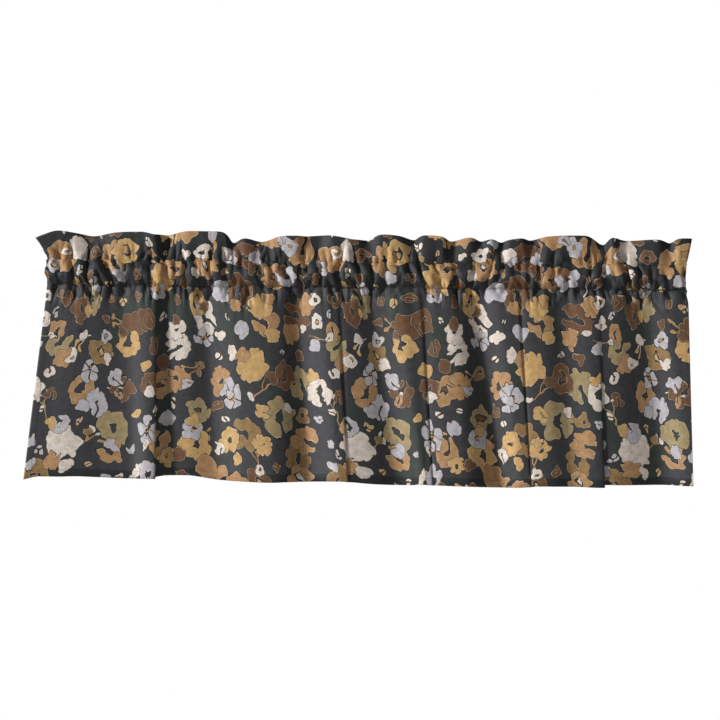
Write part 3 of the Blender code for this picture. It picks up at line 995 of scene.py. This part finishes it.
# %% Leave one screen's flowers on the mesh
def print_screen(mesh, screen, flowers, open_share=0.0, cut_share=0.0, star_share=0.0, slit=SHUT):
    """Gives each face the nearest flower of one screen: each corner's place
    from its middle in mm, turned at random, and the flower's form and inks."""
    flat_places = np.empty(len(mesh.loops) * 2)
    mesh.uv_layers["flat_cloth"].uv.foreach_get("vector", flat_places)
    corners = flat_places.reshape(-1, 4, 2) * 1000
    nearest, centres = nearest_flowers(corners, flowers)
    turn = print_chance.uniform(0, 2 * math.pi, len(flowers))[nearest]
    narrow = print_chance.uniform(0.8, 1.0, len(flowers))[nearest]
    at = seen_from_flower(corners, centres, turn, narrow)
    form, openings, luck = flower_forms(flowers, open_share, cut_share, star_share, slit)
    ink, heart_ink = flower_inks(flowers, luck[:, 2] > 0)
    places = mesh.attributes.new(screen + "_at", "FLOAT_VECTOR", "CORNER")
    places.data.foreach_set("vector", at.ravel())
    for part, values in (("form", form), ("openings", openings), ("luck", luck)):
        attribute = mesh.attributes.new(f"{screen}_{part}", "FLOAT_VECTOR", "FACE")
        attribute.data.foreach_set("vector", values[nearest].ravel())
    for part, values in (("ink", ink), ("heart_ink", heart_ink)):
        attribute = mesh.attributes.new(f"{screen}_{part}", "FLOAT_COLOR", "FACE")
        attribute.data.foreach_set("color", values[nearest].ravel())


print_screen(cloth_mesh, "twigs", twigs)
print_screen(cloth_mesh, "large", large, open_share=0.6, cut_share=0.35)
print_screen(cloth_mesh, "partners", partners, open_share=0.6, cut_share=0.3, star_share=0.16)
print_screen(cloth_mesh, "small", small, open_share=0.15, cut_share=0.15)
print_screen(cloth_mesh, "buds", buds, slit=0.7)
print("print attributes:", len(cloth_mesh.attributes))

# %% [markdown]
# ## Drawing a flower
#
# The flowers look painted with a soft brush: uneven petals, a dark line round
# each, a paler rim where the ink lies thin, and a ragged middle. The shader
# works out one length for every point, how deep it lies inside the petals, and
# each part of the flower takes something from that length. Where it is above
# 0 there is ink, and just below 0 there is the dark line. Lengths are in mm.

# %% The petals' outline
KEYLINE_WIDTH = 1.1  # in mm
RIM_LINE = 0.95  # in mm
RIM_PALENESS = 0.42


def numbers_on_cloth(tree, screen, wander):
    """What the cloth knows about a screen's nearest flower, by name."""
    flower = {}
    for part in ("at", "form", "openings", "luck"):
        flower[part] = add(tree, "Attribute", attribute_name=f"{screen}_{part}").outputs["Vector"]
    for part in ("ink", "heart_ink"):
        flower[part] = add(tree, "Attribute", attribute_name=f"{screen}_{part}").outputs["Color"]
    form = add(tree, "SeparateXYZ", flower["form"]).outputs
    flower["radius"], flower["petals"], flower["notch"] = form
    openings = add(tree, "SeparateXYZ", flower["openings"]).outputs
    flower["middle"], flower["wedge"], flower["slit"] = openings
    luck = add(tree, "SeparateXYZ", flower["luck"]).outputs
    flower["seed"], flower["dab"], flower["star"] = luck
    at = add(tree, "VectorMath", flower["at"], wander, operation="ADD")
    flower["x"], flower["y"], _ = add(tree, "SeparateXYZ", at).outputs
    flower["reach"] = add(tree, "VectorMath", at, operation="LENGTH").outputs["Value"]
    flower["angle"] = add(tree, "Math", flower["y"], flower["x"], operation="ARCTAN2")
    return flower


def petal_turn(tree, flower):
    """How many petals have gone by at an angle, from 0 on. Petals have
    uneven widths: the angle runs fast on one side and slow on the other."""
    start = add(tree, "Math", flower["seed"], 40.0, operation="MULTIPLY")
    sway = add(tree, "Math", flower["angle"], 2.0, start, operation="MULTIPLY_ADD")
    sway = add(tree, "Math", sway, operation="SINE")
    swayed = add(tree, "Math", sway, 0.22, flower["angle"], operation="MULTIPLY_ADD")
    turn = add(tree, "Math", swayed, flower["petals"], operation="MULTIPLY")
    return add(tree, "Math", turn, 1 / (2 * math.pi), operation="MULTIPLY")


def petal_arch(tree, turn, arches):
    """A row of arches from 0 to 1 and back, so many to each petal."""
    arch = add(tree, "Math", turn, arches * math.pi, operation="MULTIPLY")
    arch = add(tree, "Math", arch, operation="SINE")
    return add(tree, "Math", arch, operation="ABSOLUTE")


# %% How deep a point lies inside the petals
def inside_petals(tree, flower, turn, lobe):
    """The depth inside a flower's outline, below 0 outside it."""
    petal = add(tree, "Math", turn, operation="FLOOR")
    petal = add(tree, "Math", petal, flower["petals"], operation="FLOORED_MODULO")
    which = add(tree, "CombineXYZ", petal, flower["seed"], 0.0)
    petal_luck = add(tree, "TexWhiteNoise", which, noise_dimensions="2D").outputs["Value"]
    length = add(tree, "Math", petal_luck, 0.6, 0.7, operation="MULTIPLY_ADD")
    # Two arches to a petal leave a small dent in the middle of its tip.
    dent = petal_arch(tree, turn, 2)
    bulge = add(tree, "Math", lobe, 0.5, operation="POWER")
    bulge = add(tree, "Math", dent, 0.09, bulge, operation="MULTIPLY_ADD")
    bulge = add(tree, "Math", bulge, length, operation="MULTIPLY")
    bulge = add(tree, "Math", bulge, 1.0, operation="SUBTRACT")
    rim = add(tree, "Math", bulge, flower["notch"], 1.0, operation="MULTIPLY_ADD")
    rim = add(tree, "Math", rim, flower["radius"], operation="MULTIPLY")
    return add(tree, "Math", rim, flower["reach"], operation="SUBTRACT")


def part_by_slits(tree, flower, inside, lobe):
    """Parts a star's petals by slits that run to its middle."""
    beside = add(tree, "Math", lobe, flower["reach"], operation="MULTIPLY")
    beside = add(tree, "Math", beside, 0.4, operation="MULTIPLY")
    beside = add(tree, "Math", beside, flower["slit"], operation="SUBTRACT")
    return add(tree, "Math", inside, beside, operation="MINIMUM")


def cut_wedge(tree, flower, inside):
    """Cuts a wedge from one side of some flowers, which leaves a C."""
    wedge = add(tree, "Math", flower["radius"], 0.3, operation="MULTIPLY")
    wedge = add(tree, "Math", flower["x"], 0.5, wedge, operation="MULTIPLY_ADD")
    wedge = add(tree, "Math", wedge, flower["wedge"], operation="MULTIPLY")
    beside = add(tree, "Math", flower["y"], operation="ABSOLUTE")
    beside = add(tree, "Math", beside, wedge, operation="SUBTRACT")
    behind = add(tree, "Math", flower["x"], -1.0, operation="MULTIPLY")
    kept = add(tree, "Math", beside, behind, operation="MAXIMUM")
    return add(tree, "Math", inside, kept, operation="MINIMUM")


# %% The ragged middle, and what is dabbed into it
STAMEN_REACH = 0.36  # as a share of the radius


def open_middle(tree, flower):
    """How far the open middle reaches at an angle: a ragged oval."""
    oval = add(tree, "Math", flower["angle"], 2.0, flower["seed"], operation="MULTIPLY_ADD")
    oval = add(tree, "Math", oval, operation="SINE")
    spikes = add(tree, "Math", flower["angle"], 5.0, flower["seed"], operation="MULTIPLY_ADD")
    spikes = add(tree, "Math", spikes, operation="SINE")
    ragged = add(tree, "Math", oval, 0.24, 1.0, operation="MULTIPLY_ADD")
    ragged = add(tree, "Math", spikes, 0.14, ragged, operation="MULTIPLY_ADD")
    size = add(tree, "Math", flower["middle"], flower["radius"], operation="MULTIPLY")
    return add(tree, "Math", size, ragged, operation="MULTIPLY")


def inside_dab(tree, flower, open_to, dots):
    """The depth inside a dab of the heart's ink, or inside a star's stamens."""
    dab = add(tree, "Math", open_to, flower["dab"], operation="MULTIPLY")
    dab = add(tree, "Math", dab, flower["reach"], operation="SUBTRACT")
    stamens = add(tree, "Math", flower["radius"], STAMEN_REACH, operation="MULTIPLY")
    stamens = add(tree, "Math", stamens, flower["reach"], operation="SUBTRACT")
    stamens = add(tree, "Math", stamens, dots, operation="MINIMUM")
    return add(tree, "Mix", flower["star"], named={2: dab, 3: stamens}, data_type="FLOAT").outputs[0]


# %% Lay ink over what is printed already
def lay_ink(tree, under, inside, least, ink):
    """Lays a colour wherever the depth inside a shape is above the least."""
    here = add(tree, "Math", inside, least, operation="GREATER_THAN")
    return add(tree, "Mix", here, named={6: under, 7: ink}, data_type="RGBA").outputs[2]


def draw_flowers(tree, screen, wander, dots, under):
    """Prints one screen's flowers over the colours under it."""
    flower = numbers_on_cloth(tree, screen, wander)
    turn = petal_turn(tree, flower)
    lobe = petal_arch(tree, turn, 1)
    inside = inside_petals(tree, flower, turn, lobe)
    inside = part_by_slits(tree, flower, inside, lobe)
    inside = cut_wedge(tree, flower, inside)
    open_to = open_middle(tree, flower)
    past_middle = add(tree, "Math", flower["reach"], open_to, operation="SUBTRACT")
    inside = add(tree, "Math", inside, past_middle, operation="MINIMUM")
    # The ink lies thin at a petal's rim, and the pale cloth shines through.
    thin = add(tree, "Math", inside, RIM_LINE, operation="LESS_THAN")
    thin = add(tree, "Math", thin, RIM_PALENESS, operation="MULTIPLY")
    ink = add(tree, "Mix", thin, named={6: flower["ink"], 7: PALE_RIM}, data_type="RGBA").outputs[2]
    drawn = lay_ink(tree, under, inside, -KEYLINE_WIDTH, KEYLINE)
    drawn = lay_ink(tree, drawn, inside, 0.0, ink)
    dab = inside_dab(tree, flower, open_to, dots)
    return lay_ink(tree, drawn, dab, 0.3, flower["heart_ink"])


# %% [markdown]
# ## Drawing a twig
#
# Between the flowers run thin forked twigs with a bud at each tip of the fork.
# Curves laid on the cloth would work too, but the twigs are ink like the rest,
# so they are drawn in the same way: a bent stem that splits at its middle.

# %% How the twigs are drawn, in mm
TWIG_BEND = 0.025
FORK_SPREAD = 0.45
STEM_HALF_WIDTH = 1.5
BUD_RADIUS = 4.6


def draw_twigs(tree, wander, under):
    """Prints forked twigs over the colours under them."""
    twig = numbers_on_cloth(tree, "twigs", wander)
    bend = add(tree, "Math", twig["seed"], 0.5, operation="SUBTRACT")
    bend = add(tree, "Math", bend, TWIG_BEND, operation="MULTIPLY")
    squared = add(tree, "Math", twig["x"], twig["x"], operation="MULTIPLY")
    beside = add(tree, "Math", squared, bend, twig["y"], operation="MULTIPLY_ADD")
    beside = add(tree, "Math", beside, operation="ABSOLUTE")
    past_fork = add(tree, "Math", twig["x"], 0.0, operation="MAXIMUM")
    beside = add(tree, "Math", past_fork, -FORK_SPREAD, beside, operation="MULTIPLY_ADD")
    stem = add(tree, "Math", beside, operation="ABSOLUTE")
    stem = add(tree, "Math", STEM_HALF_WIDTH, stem, operation="SUBTRACT")
    to_tip = add(tree, "Math", twig["x"], operation="ABSOLUTE")
    to_tip = add(tree, "Math", twig["radius"], to_tip, operation="SUBTRACT")
    stem = add(tree, "Math", stem, to_tip, operation="MINIMUM")
    from_bud = add(tree, "Math", to_tip, 1.0, operation="SUBTRACT")
    from_bud = add(tree, "CombineXYZ", from_bud, beside, 0.0)
    from_bud = add(tree, "VectorMath", from_bud, operation="LENGTH").outputs["Value"]
    bud = add(tree, "Math", BUD_RADIUS, from_bud, operation="SUBTRACT")
    # Buds stand at the forked end alone, where x is above 0.
    forked_end = add(tree, "Math", twig["x"], 4.0, operation="MULTIPLY")
    bud = add(tree, "Math", bud, forked_end, operation="MINIMUM")
    inside = add(tree, "Math", stem, bud, operation="MAXIMUM")
    drawn = lay_ink(tree, under, inside, -KEYLINE_WIDTH, KEYLINE)
    drawn = lay_ink(tree, drawn, inside, 0.0, twig["ink"])
    return lay_ink(tree, drawn, bud, 0.0, twig["heart_ink"])


# %% [markdown]
# ## The printed cotton
#
# The cloth is a light plain-weave cotton, screen-printed with pigment. Its
# yarns are spun from short fibres, so it is matt: they scatter light every
# way, and no highlight runs along a fold. Roughness is 0.6, at the smooth end
# of what is usual for cotton, as pigment binder fills the weave a little. It
# isn't a metal, and its IOR stays at the default 1.5, which is close to
# cellulose. Thick and thin places in the yarns, the weave's own relief and a
# slow unevenness of the ink keep any one colour from being flat. A photograph
# of cloth could stand in for all that, but a repeating picture soon shows.

# %% How the cotton looks close up, in mm
COTTON_ROUGHNESS = 0.6
COTTON_SPECULAR = 0.35  # below the default 0.5, as gaps between yarns swallow light
YARN_PITCH = 1.4  # real yarns are 0.4 mm apart, too fine to show at this size
YARN_RELIEF = 0.2 * MM  # in metres, as Blender's bump wants it: about half a yarn
STAMEN_PITCH = 5.5
WANDER_PITCH = 20  # a hand-drawn outline strays over this length
WANDER = 17  # by at most half of this, and mostly by less than a fifth
# The size of the painted backlight's soft greenish patches.
BACKLIGHT_CLOUD_PITCH = 110
WASH_PITCH = 11
# The single cloth below the pocket and above the hem takes the painted backlight.
below_pocket = 1000 * down_cloth[top_edge + 1 + FOOT_STITCH]
SINGLE_FROM, SINGLE_FULLY = below_pocket - 55, below_pocket + 10
SINGLE_TO = 1000 * (down_cloth[hem_edge] - HEM_DEPTH)
print("single cloth from", round(SINGLE_FULLY), "to", round(SINGLE_TO), "mm down the front")


# %% The slate ground with painted backlight and shade, and the unsteady hand that drew the flowers
def slate_ground_and_backlight(tree, cloth_mm):
    """Slate with painted backlight, greenish in soft patches, where the cloth is single, and painted
    shade where it lies double.
    """
    _, down, _ = add(tree, "SeparateXYZ", cloth_mm).outputs
    # Painted backlight falls on single cloth: it fades in below the pocket and stops at the hem.
    past_pocket = add(tree, "MapRange", down, SINGLE_FROM, SINGLE_FULLY)
    above_hem = add(tree, "Math", down, SINGLE_TO, operation="LESS_THAN")
    single = add(tree, "Math", past_pocket, above_hem, operation="MULTIPLY")
    # Painted backlight: soft greenish patches of light shining through the single cloth.
    grain = {"Vector": cloth_mm, "Scale": 1 / BACKLIGHT_CLOUD_PITCH, "Detail": 0.0}
    backlight_clouds = add(tree, "TexNoise", named=grain, noise_dimensions="2D").outputs["Fac"]
    backlight_clouds = add(tree, "MapRange", backlight_clouds, 0.56, 0.70)
    ground = add(tree, "Mix", backlight_clouds, named={6: SLATE_WITH_PAINTED_BACKLIGHT, 7: PAINTED_GREEN_BACKLIGHT}, data_type="RGBA").outputs[2]
    # Painted shade: where the cloth lies double, the darker slate takes the place of the painted
    # backlight.
    return add(tree, "Mix", single, named={6: DOUBLE_SLATE_PAINTED_SHADE, 7: ground}, data_type="RGBA").outputs[2]


def unsteady_hand(tree, cloth_mm):
    """A slow wander that is added to every outline."""
    grain = {"Vector": cloth_mm, "Scale": 1 / WANDER_PITCH, "Detail": 0.4}
    wander = add(tree, "TexNoise", named=grain, noise_dimensions="2D").outputs["Color"]
    wander = add(tree, "VectorMath", wander, (0.5, 0.5, 0.5), operation="SUBTRACT")
    return add(tree, "VectorMath", wander, (WANDER, WANDER, 0), operation="MULTIPLY")


def stamen_dots(tree, cloth_mm):
    """Small dots all over, which show only in the middle of a star."""
    grain = {"Vector": cloth_mm, "Scale": 1 / STAMEN_PITCH, "Randomness": 0.7}
    dots = add(tree, "TexVoronoi", named=grain, voronoi_dimensions="2D").outputs["Distance"]
    dots = add(tree, "Math", 0.36, dots, operation="SUBTRACT")
    return add(tree, "Math", dots, STAMEN_PITCH, operation="MULTIPLY")


# %% The weave, the yarns and the washes of ink
def plain_weave(tree, cloth_mm):
    """Relief of a plain weave, over one and under one, with uneven yarns."""
    weave_at = add(tree, "VectorMath", cloth_mm, (YARN_PITCH, YARN_PITCH, 1), operation="DIVIDE")
    warp_way, weft_way, _ = add(tree, "SeparateXYZ", weave_at).outputs
    warps = add(tree, "Math", warp_way, 2 * math.pi, operation="MULTIPLY")
    warps = add(tree, "Math", warps, operation="SINE")
    wefts = add(tree, "Math", weft_way, 2 * math.pi, operation="MULTIPLY")
    wefts = add(tree, "Math", wefts, operation="SINE")
    weave = add(tree, "Math", warps, wefts, operation="MULTIPLY")
    grain = {"Vector": cloth_mm, "Scale": 0.9, "Detail": 2.0}
    slubs = add(tree, "TexNoise", named=grain, noise_dimensions="2D").outputs["Fac"]
    height = add(tree, "Math", slubs, 1.5, weave, operation="MULTIPLY_ADD")
    relief = {"Strength": 0.35, "Distance": YARN_RELIEF, "Height": height}
    return add(tree, "Bump", named=relief).outputs[0]


def mottled(tree, cloth_mm, colour):
    """Darkens and lightens a colour yarn by yarn and wash by wash."""
    grain = {"Vector": cloth_mm, "Scale": 0.5, "Detail": 1.0}
    yarns = add(tree, "TexNoise", named=grain, noise_dimensions="2D").outputs["Fac"]
    yarns = add(tree, "Math", yarns, 0.7, 0.65, operation="MULTIPLY_ADD")
    grain = {"Vector": cloth_mm, "Scale": 1 / WASH_PITCH, "Detail": 1.5}
    washes = add(tree, "TexNoise", named=grain, noise_dimensions="2D").outputs["Fac"]
    washes = add(tree, "Math", washes, 0.6, 0.7, operation="MULTIPLY_ADD")
    speck = add(tree, "Math", yarns, washes, operation="MULTIPLY")
    both = {6: colour, 7: speck}
    return add(tree, "Mix", 1.0, named=both, data_type="RGBA", blend_type="MULTIPLY").outputs[2]


# %% Screen-printed cotton, its face and its reverse
def printed_cotton(name, fading):
    """The cotton's printed face, or its reverse, where the print has faded
    into the unprinted cloth."""
    material = bpy.data.materials.new(name)
    material.use_nodes = True
    tree = material.node_tree
    shader = tree.nodes["Principled BSDF"]
    shader.inputs["Roughness"].default_value = COTTON_ROUGHNESS
    shader.inputs["Specular IOR Level"].default_value = COTTON_SPECULAR
    flat = add(tree, "UVMap", uv_map="flat_cloth")
    cloth_mm = add(tree, "VectorMath", flat, (1000, 1000, 0), operation="MULTIPLY")
    wander = unsteady_hand(tree, cloth_mm)
    dots = stamen_dots(tree, cloth_mm)
    colour = slate_ground_and_backlight(tree, cloth_mm)
    colour = draw_twigs(tree, wander, colour)
    for screen in ("large", "partners", "small", "buds"):
        colour = draw_flowers(tree, screen, wander, dots, colour)
    colour = mottled(tree, cloth_mm, colour)
    colour = add(tree, "Mix", fading, named={6: colour, 7: UNPRINTED}, data_type="RGBA").outputs[2]
    tree.links.new(colour, shader.inputs["Base Color"])
    tree.links.new(plain_weave(tree, cloth_mm), shader.inputs["Normal"])
    print(name, "has", len(tree.nodes), "nodes")
    return material


cloth_mesh.materials.append(printed_cotton("screen_printed_cotton_face", 0.0))
cloth_mesh.materials.append(printed_cotton("screen_printed_cotton_reverse", 0.45))

# %% [markdown]
# ## The stitches
#
# A lockstitch shows on the face as a row of short raised dashes, about eight
# to the inch, each dipping into the cloth at both ends. Two lines hold the rod
# pocket and show again at its back, one holds the hem, and one runs down each
# side. A stitch texture would look flat where the light grazes the cloth, so
# every dash is a small four-sided bead, and all of them are one joined mesh.

# %% The shape of one stitch
STITCH_PITCH = 3.2 * MM
STITCH_LENGTH = 2.5 * MM
THREAD_HALF = 0.22 * MM
ALONG_STITCH = np.array([0.0, 0.2, 0.5, 0.8, 1.0])
STITCH_LIFT = np.array([-0.25, 0.2, 0.35, 0.2, -0.25]) * MM + THICKNESS / 2
STITCH_THICK = THREAD_HALF * np.array([0.6, 1.0, 1.1, 1.0, 0.6])


def sew(line, facing):
    """Beads along a line of points, lying on the side that facing points to."""
    run = run_of(line)
    starts = np.arange(STITCH_PITCH / 2, run[-1] - STITCH_PITCH, STITCH_PITCH)
    places = starts[:, None] + STITCH_LENGTH * ALONG_STITCH
    at = np.stack([np.interp(places, run, line[:, axis]) for axis in range(3)], axis=-1)
    up = np.stack([np.interp(places, run, facing[:, axis]) for axis in range(3)], axis=-1)
    along = np.gradient(at, axis=1)
    aside = np.cross(along, up)
    aside /= np.linalg.norm(aside, axis=-1, keepdims=True)
    middle = at + up * STITCH_LIFT[:, None]
    ring = [(aside, 1.0), (up, 1.0), (aside, -1.0), (up, -1.0)]
    return np.stack([middle + way * side * STITCH_THICK[:, None] for way, side in ring], axis=2)


# %% Sew the seven lines
facing = outward(rows)
upper_front = top_edge + 1 + TOP_STITCH
lower_front = top_edge + 1 + FOOT_STITCH
upper_back = top_edge - TOP_STITCH
lower_back = 1
hem_line = int(np.searchsorted(down_cloth, down_cloth[hem_edge] - HEM_DEPTH + 1.5 * MM))
side_column = hem_columns - 2
beads = [
    sew(rows[upper_front], facing[upper_front]),
    sew(rows[lower_front], facing[lower_front]),
    sew(rows[hem_line], facing[hem_line]),
    sew(rows[skirt_rows, side_column], facing[skirt_rows, side_column]),
    sew(rows[skirt_rows, -side_column], facing[skirt_rows, -side_column]),
    sew(rows[upper_back], facing[upper_back]),
    sew(rows[lower_back], facing[lower_back]),
]
beads = np.concatenate(beads).reshape(-1, 20, 3)
print("stitches:", len(beads))

# %% Join the beads into one mesh
bead_quads = []
for ring in range(0, 16, 4):
    for side in range(4):
        after = (side + 1) % 4
        bead_quads.append((ring + side, ring + after, ring + 4 + after, ring + 4 + side))
bead_quads += [(3, 2, 1, 0), (16, 17, 18, 19)]
all_beads = (np.arange(len(beads))[:, None, None] * 20 + np.array(bead_quads)).reshape(-1, 4)
stitch_mesh = bpy.data.meshes.new("stitch_lines")
stitch_mesh.from_pydata(beads.reshape(-1, 3).tolist(), [], all_beads.tolist())
stitch_mesh.shade_smooth()
stitches = bpy.data.objects.new("stitch_lines", stitch_mesh)
bpy.context.scene.collection.objects.link(stitches)
print("stitch triangles:", 2 * len(stitch_mesh.polygons))

# %% [markdown]
# ## The thread
#
# Sewing thread is polyester, spun and then dyed, here in a dark slate near the
# ground's own. Its fibres are smoother than cotton's, so it catches a little
# more light: its roughness is 0.5. It isn't a metal, and its IOR stays at the
# default 1.5, a little under polyester's. It is too thin for its twist to
# show at this size, so it has none.

# %% Spun polyester sewing thread
thread = bpy.data.materials.new("spun_polyester_sewing_thread")
thread.use_nodes = True
thread_shader = thread.node_tree.nodes["Principled BSDF"]
thread_shader.inputs["Base Color"].default_value = linear("#2a2d31")
thread_shader.inputs["Roughness"].default_value = 0.5
stitch_mesh.materials.append(thread)
print("thread is", round(2 * THREAD_HALF / MM, 2), "mm thick")

# %% [markdown]
# ## Riding on the frame
#
# The valance has one body and no joint, so both pieces ride on its root. The
# cloth takes the place of the plain solid, which stays behind it for contact.

# %% Ride and replace
for piece in (cloth, stitches):
    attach(piece, "root")
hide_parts("valance_panel")
print("pieces on the root:", cloth.name, "and", stitches.name)

# %% [markdown]
# ## The studio
#
# The valance hangs before a plain white surround above a pale floor. Soft
# light from in front would flatten the folds. So the main light is a large
# softbox far to the left, which grazes them: one side of every ridge is
# bright, and the valley after it is dark. A weak second softbox in front opens
# the shadows. The surround looks white to the camera, yet it sends out only a
# tenth of that light, so it doesn't wash the slate ground out.

# %% The floor
FLOOR_HEIGHT = -1.3
HALF_FLOOR = 1.9
corners = [
    (-HALF_FLOOR, -HALF_FLOOR, FLOOR_HEIGHT),
    (HALF_FLOOR, -HALF_FLOOR, FLOOR_HEIGHT),
    (HALF_FLOOR, HALF_FLOOR, FLOOR_HEIGHT),
    (-HALF_FLOOR, HALF_FLOOR, FLOOR_HEIGHT),
]
floor_mesh = bpy.data.meshes.new("studio_floor")
floor_mesh.from_pydata(corners, [], [(0, 1, 2, 3)])
floor = bpy.data.objects.new("studio_floor", floor_mesh)
bpy.context.scene.collection.objects.link(floor)
paint = bpy.data.materials.new("matt_white_paint")
paint.use_nodes = True
paint_shader = paint.node_tree.nodes["Principled BSDF"]
paint_shader.inputs["Base Color"].default_value = linear("#f2f2f0")
paint_shader.inputs["Roughness"].default_value = 0.9
floor_mesh.materials.append(paint)
print("the floor lies", round(-FLOOR_HEIGHT - DROP, 2), "m below the hem")

# %% The surround
LIGHT_SENT_OUT = 0.1
SEEN_BY_CAMERA = 1.0
world = bpy.data.worlds.new("white_studio")
bpy.context.scene.world = world
world.use_nodes = True
tree = world.node_tree
tree.nodes.clear()
ray = add(tree, "LightPath").outputs["Is Camera Ray"]
either = {2: LIGHT_SENT_OUT, 3: SEEN_BY_CAMERA}
strength = add(tree, "Mix", ray, named=either, data_type="FLOAT").outputs[0]
sky = add(tree, "Background", (1, 1, 1, 1), strength)
add(tree, "OutputWorld", sky)


# %% The lights
def soft_light(name, at, aim, size, watts):
    """Hangs a rectangular softbox at a place and turns it to what it lights."""
    data = bpy.data.lights.new(name, "AREA")
    data.shape = "RECTANGLE"
    data.size, data.size_y = size
    data.energy = watts
    lamp = bpy.data.objects.new(name, data)
    lamp.location = at
    lamp.rotation_euler = (Vector(aim) - Vector(at)).to_track_quat("-Z", "Y").to_euler()
    bpy.context.scene.collection.objects.link(lamp)
    print(name, "hangs", round((Vector(aim) - Vector(at)).length, 1), "m away")


soft_light("key_softbox", (-12.0, -5.7, 3.2), (0, 0, -0.25), (1.8, 1.8), 2120)
soft_light("fill_softbox", (1.2, -3.6, 0.4), (0, 0, -0.25), (2.2, 1.6), 12)
scene = bpy.context.scene
scene.view_settings.view_transform = "Standard"
scene.view_settings.look = "None"
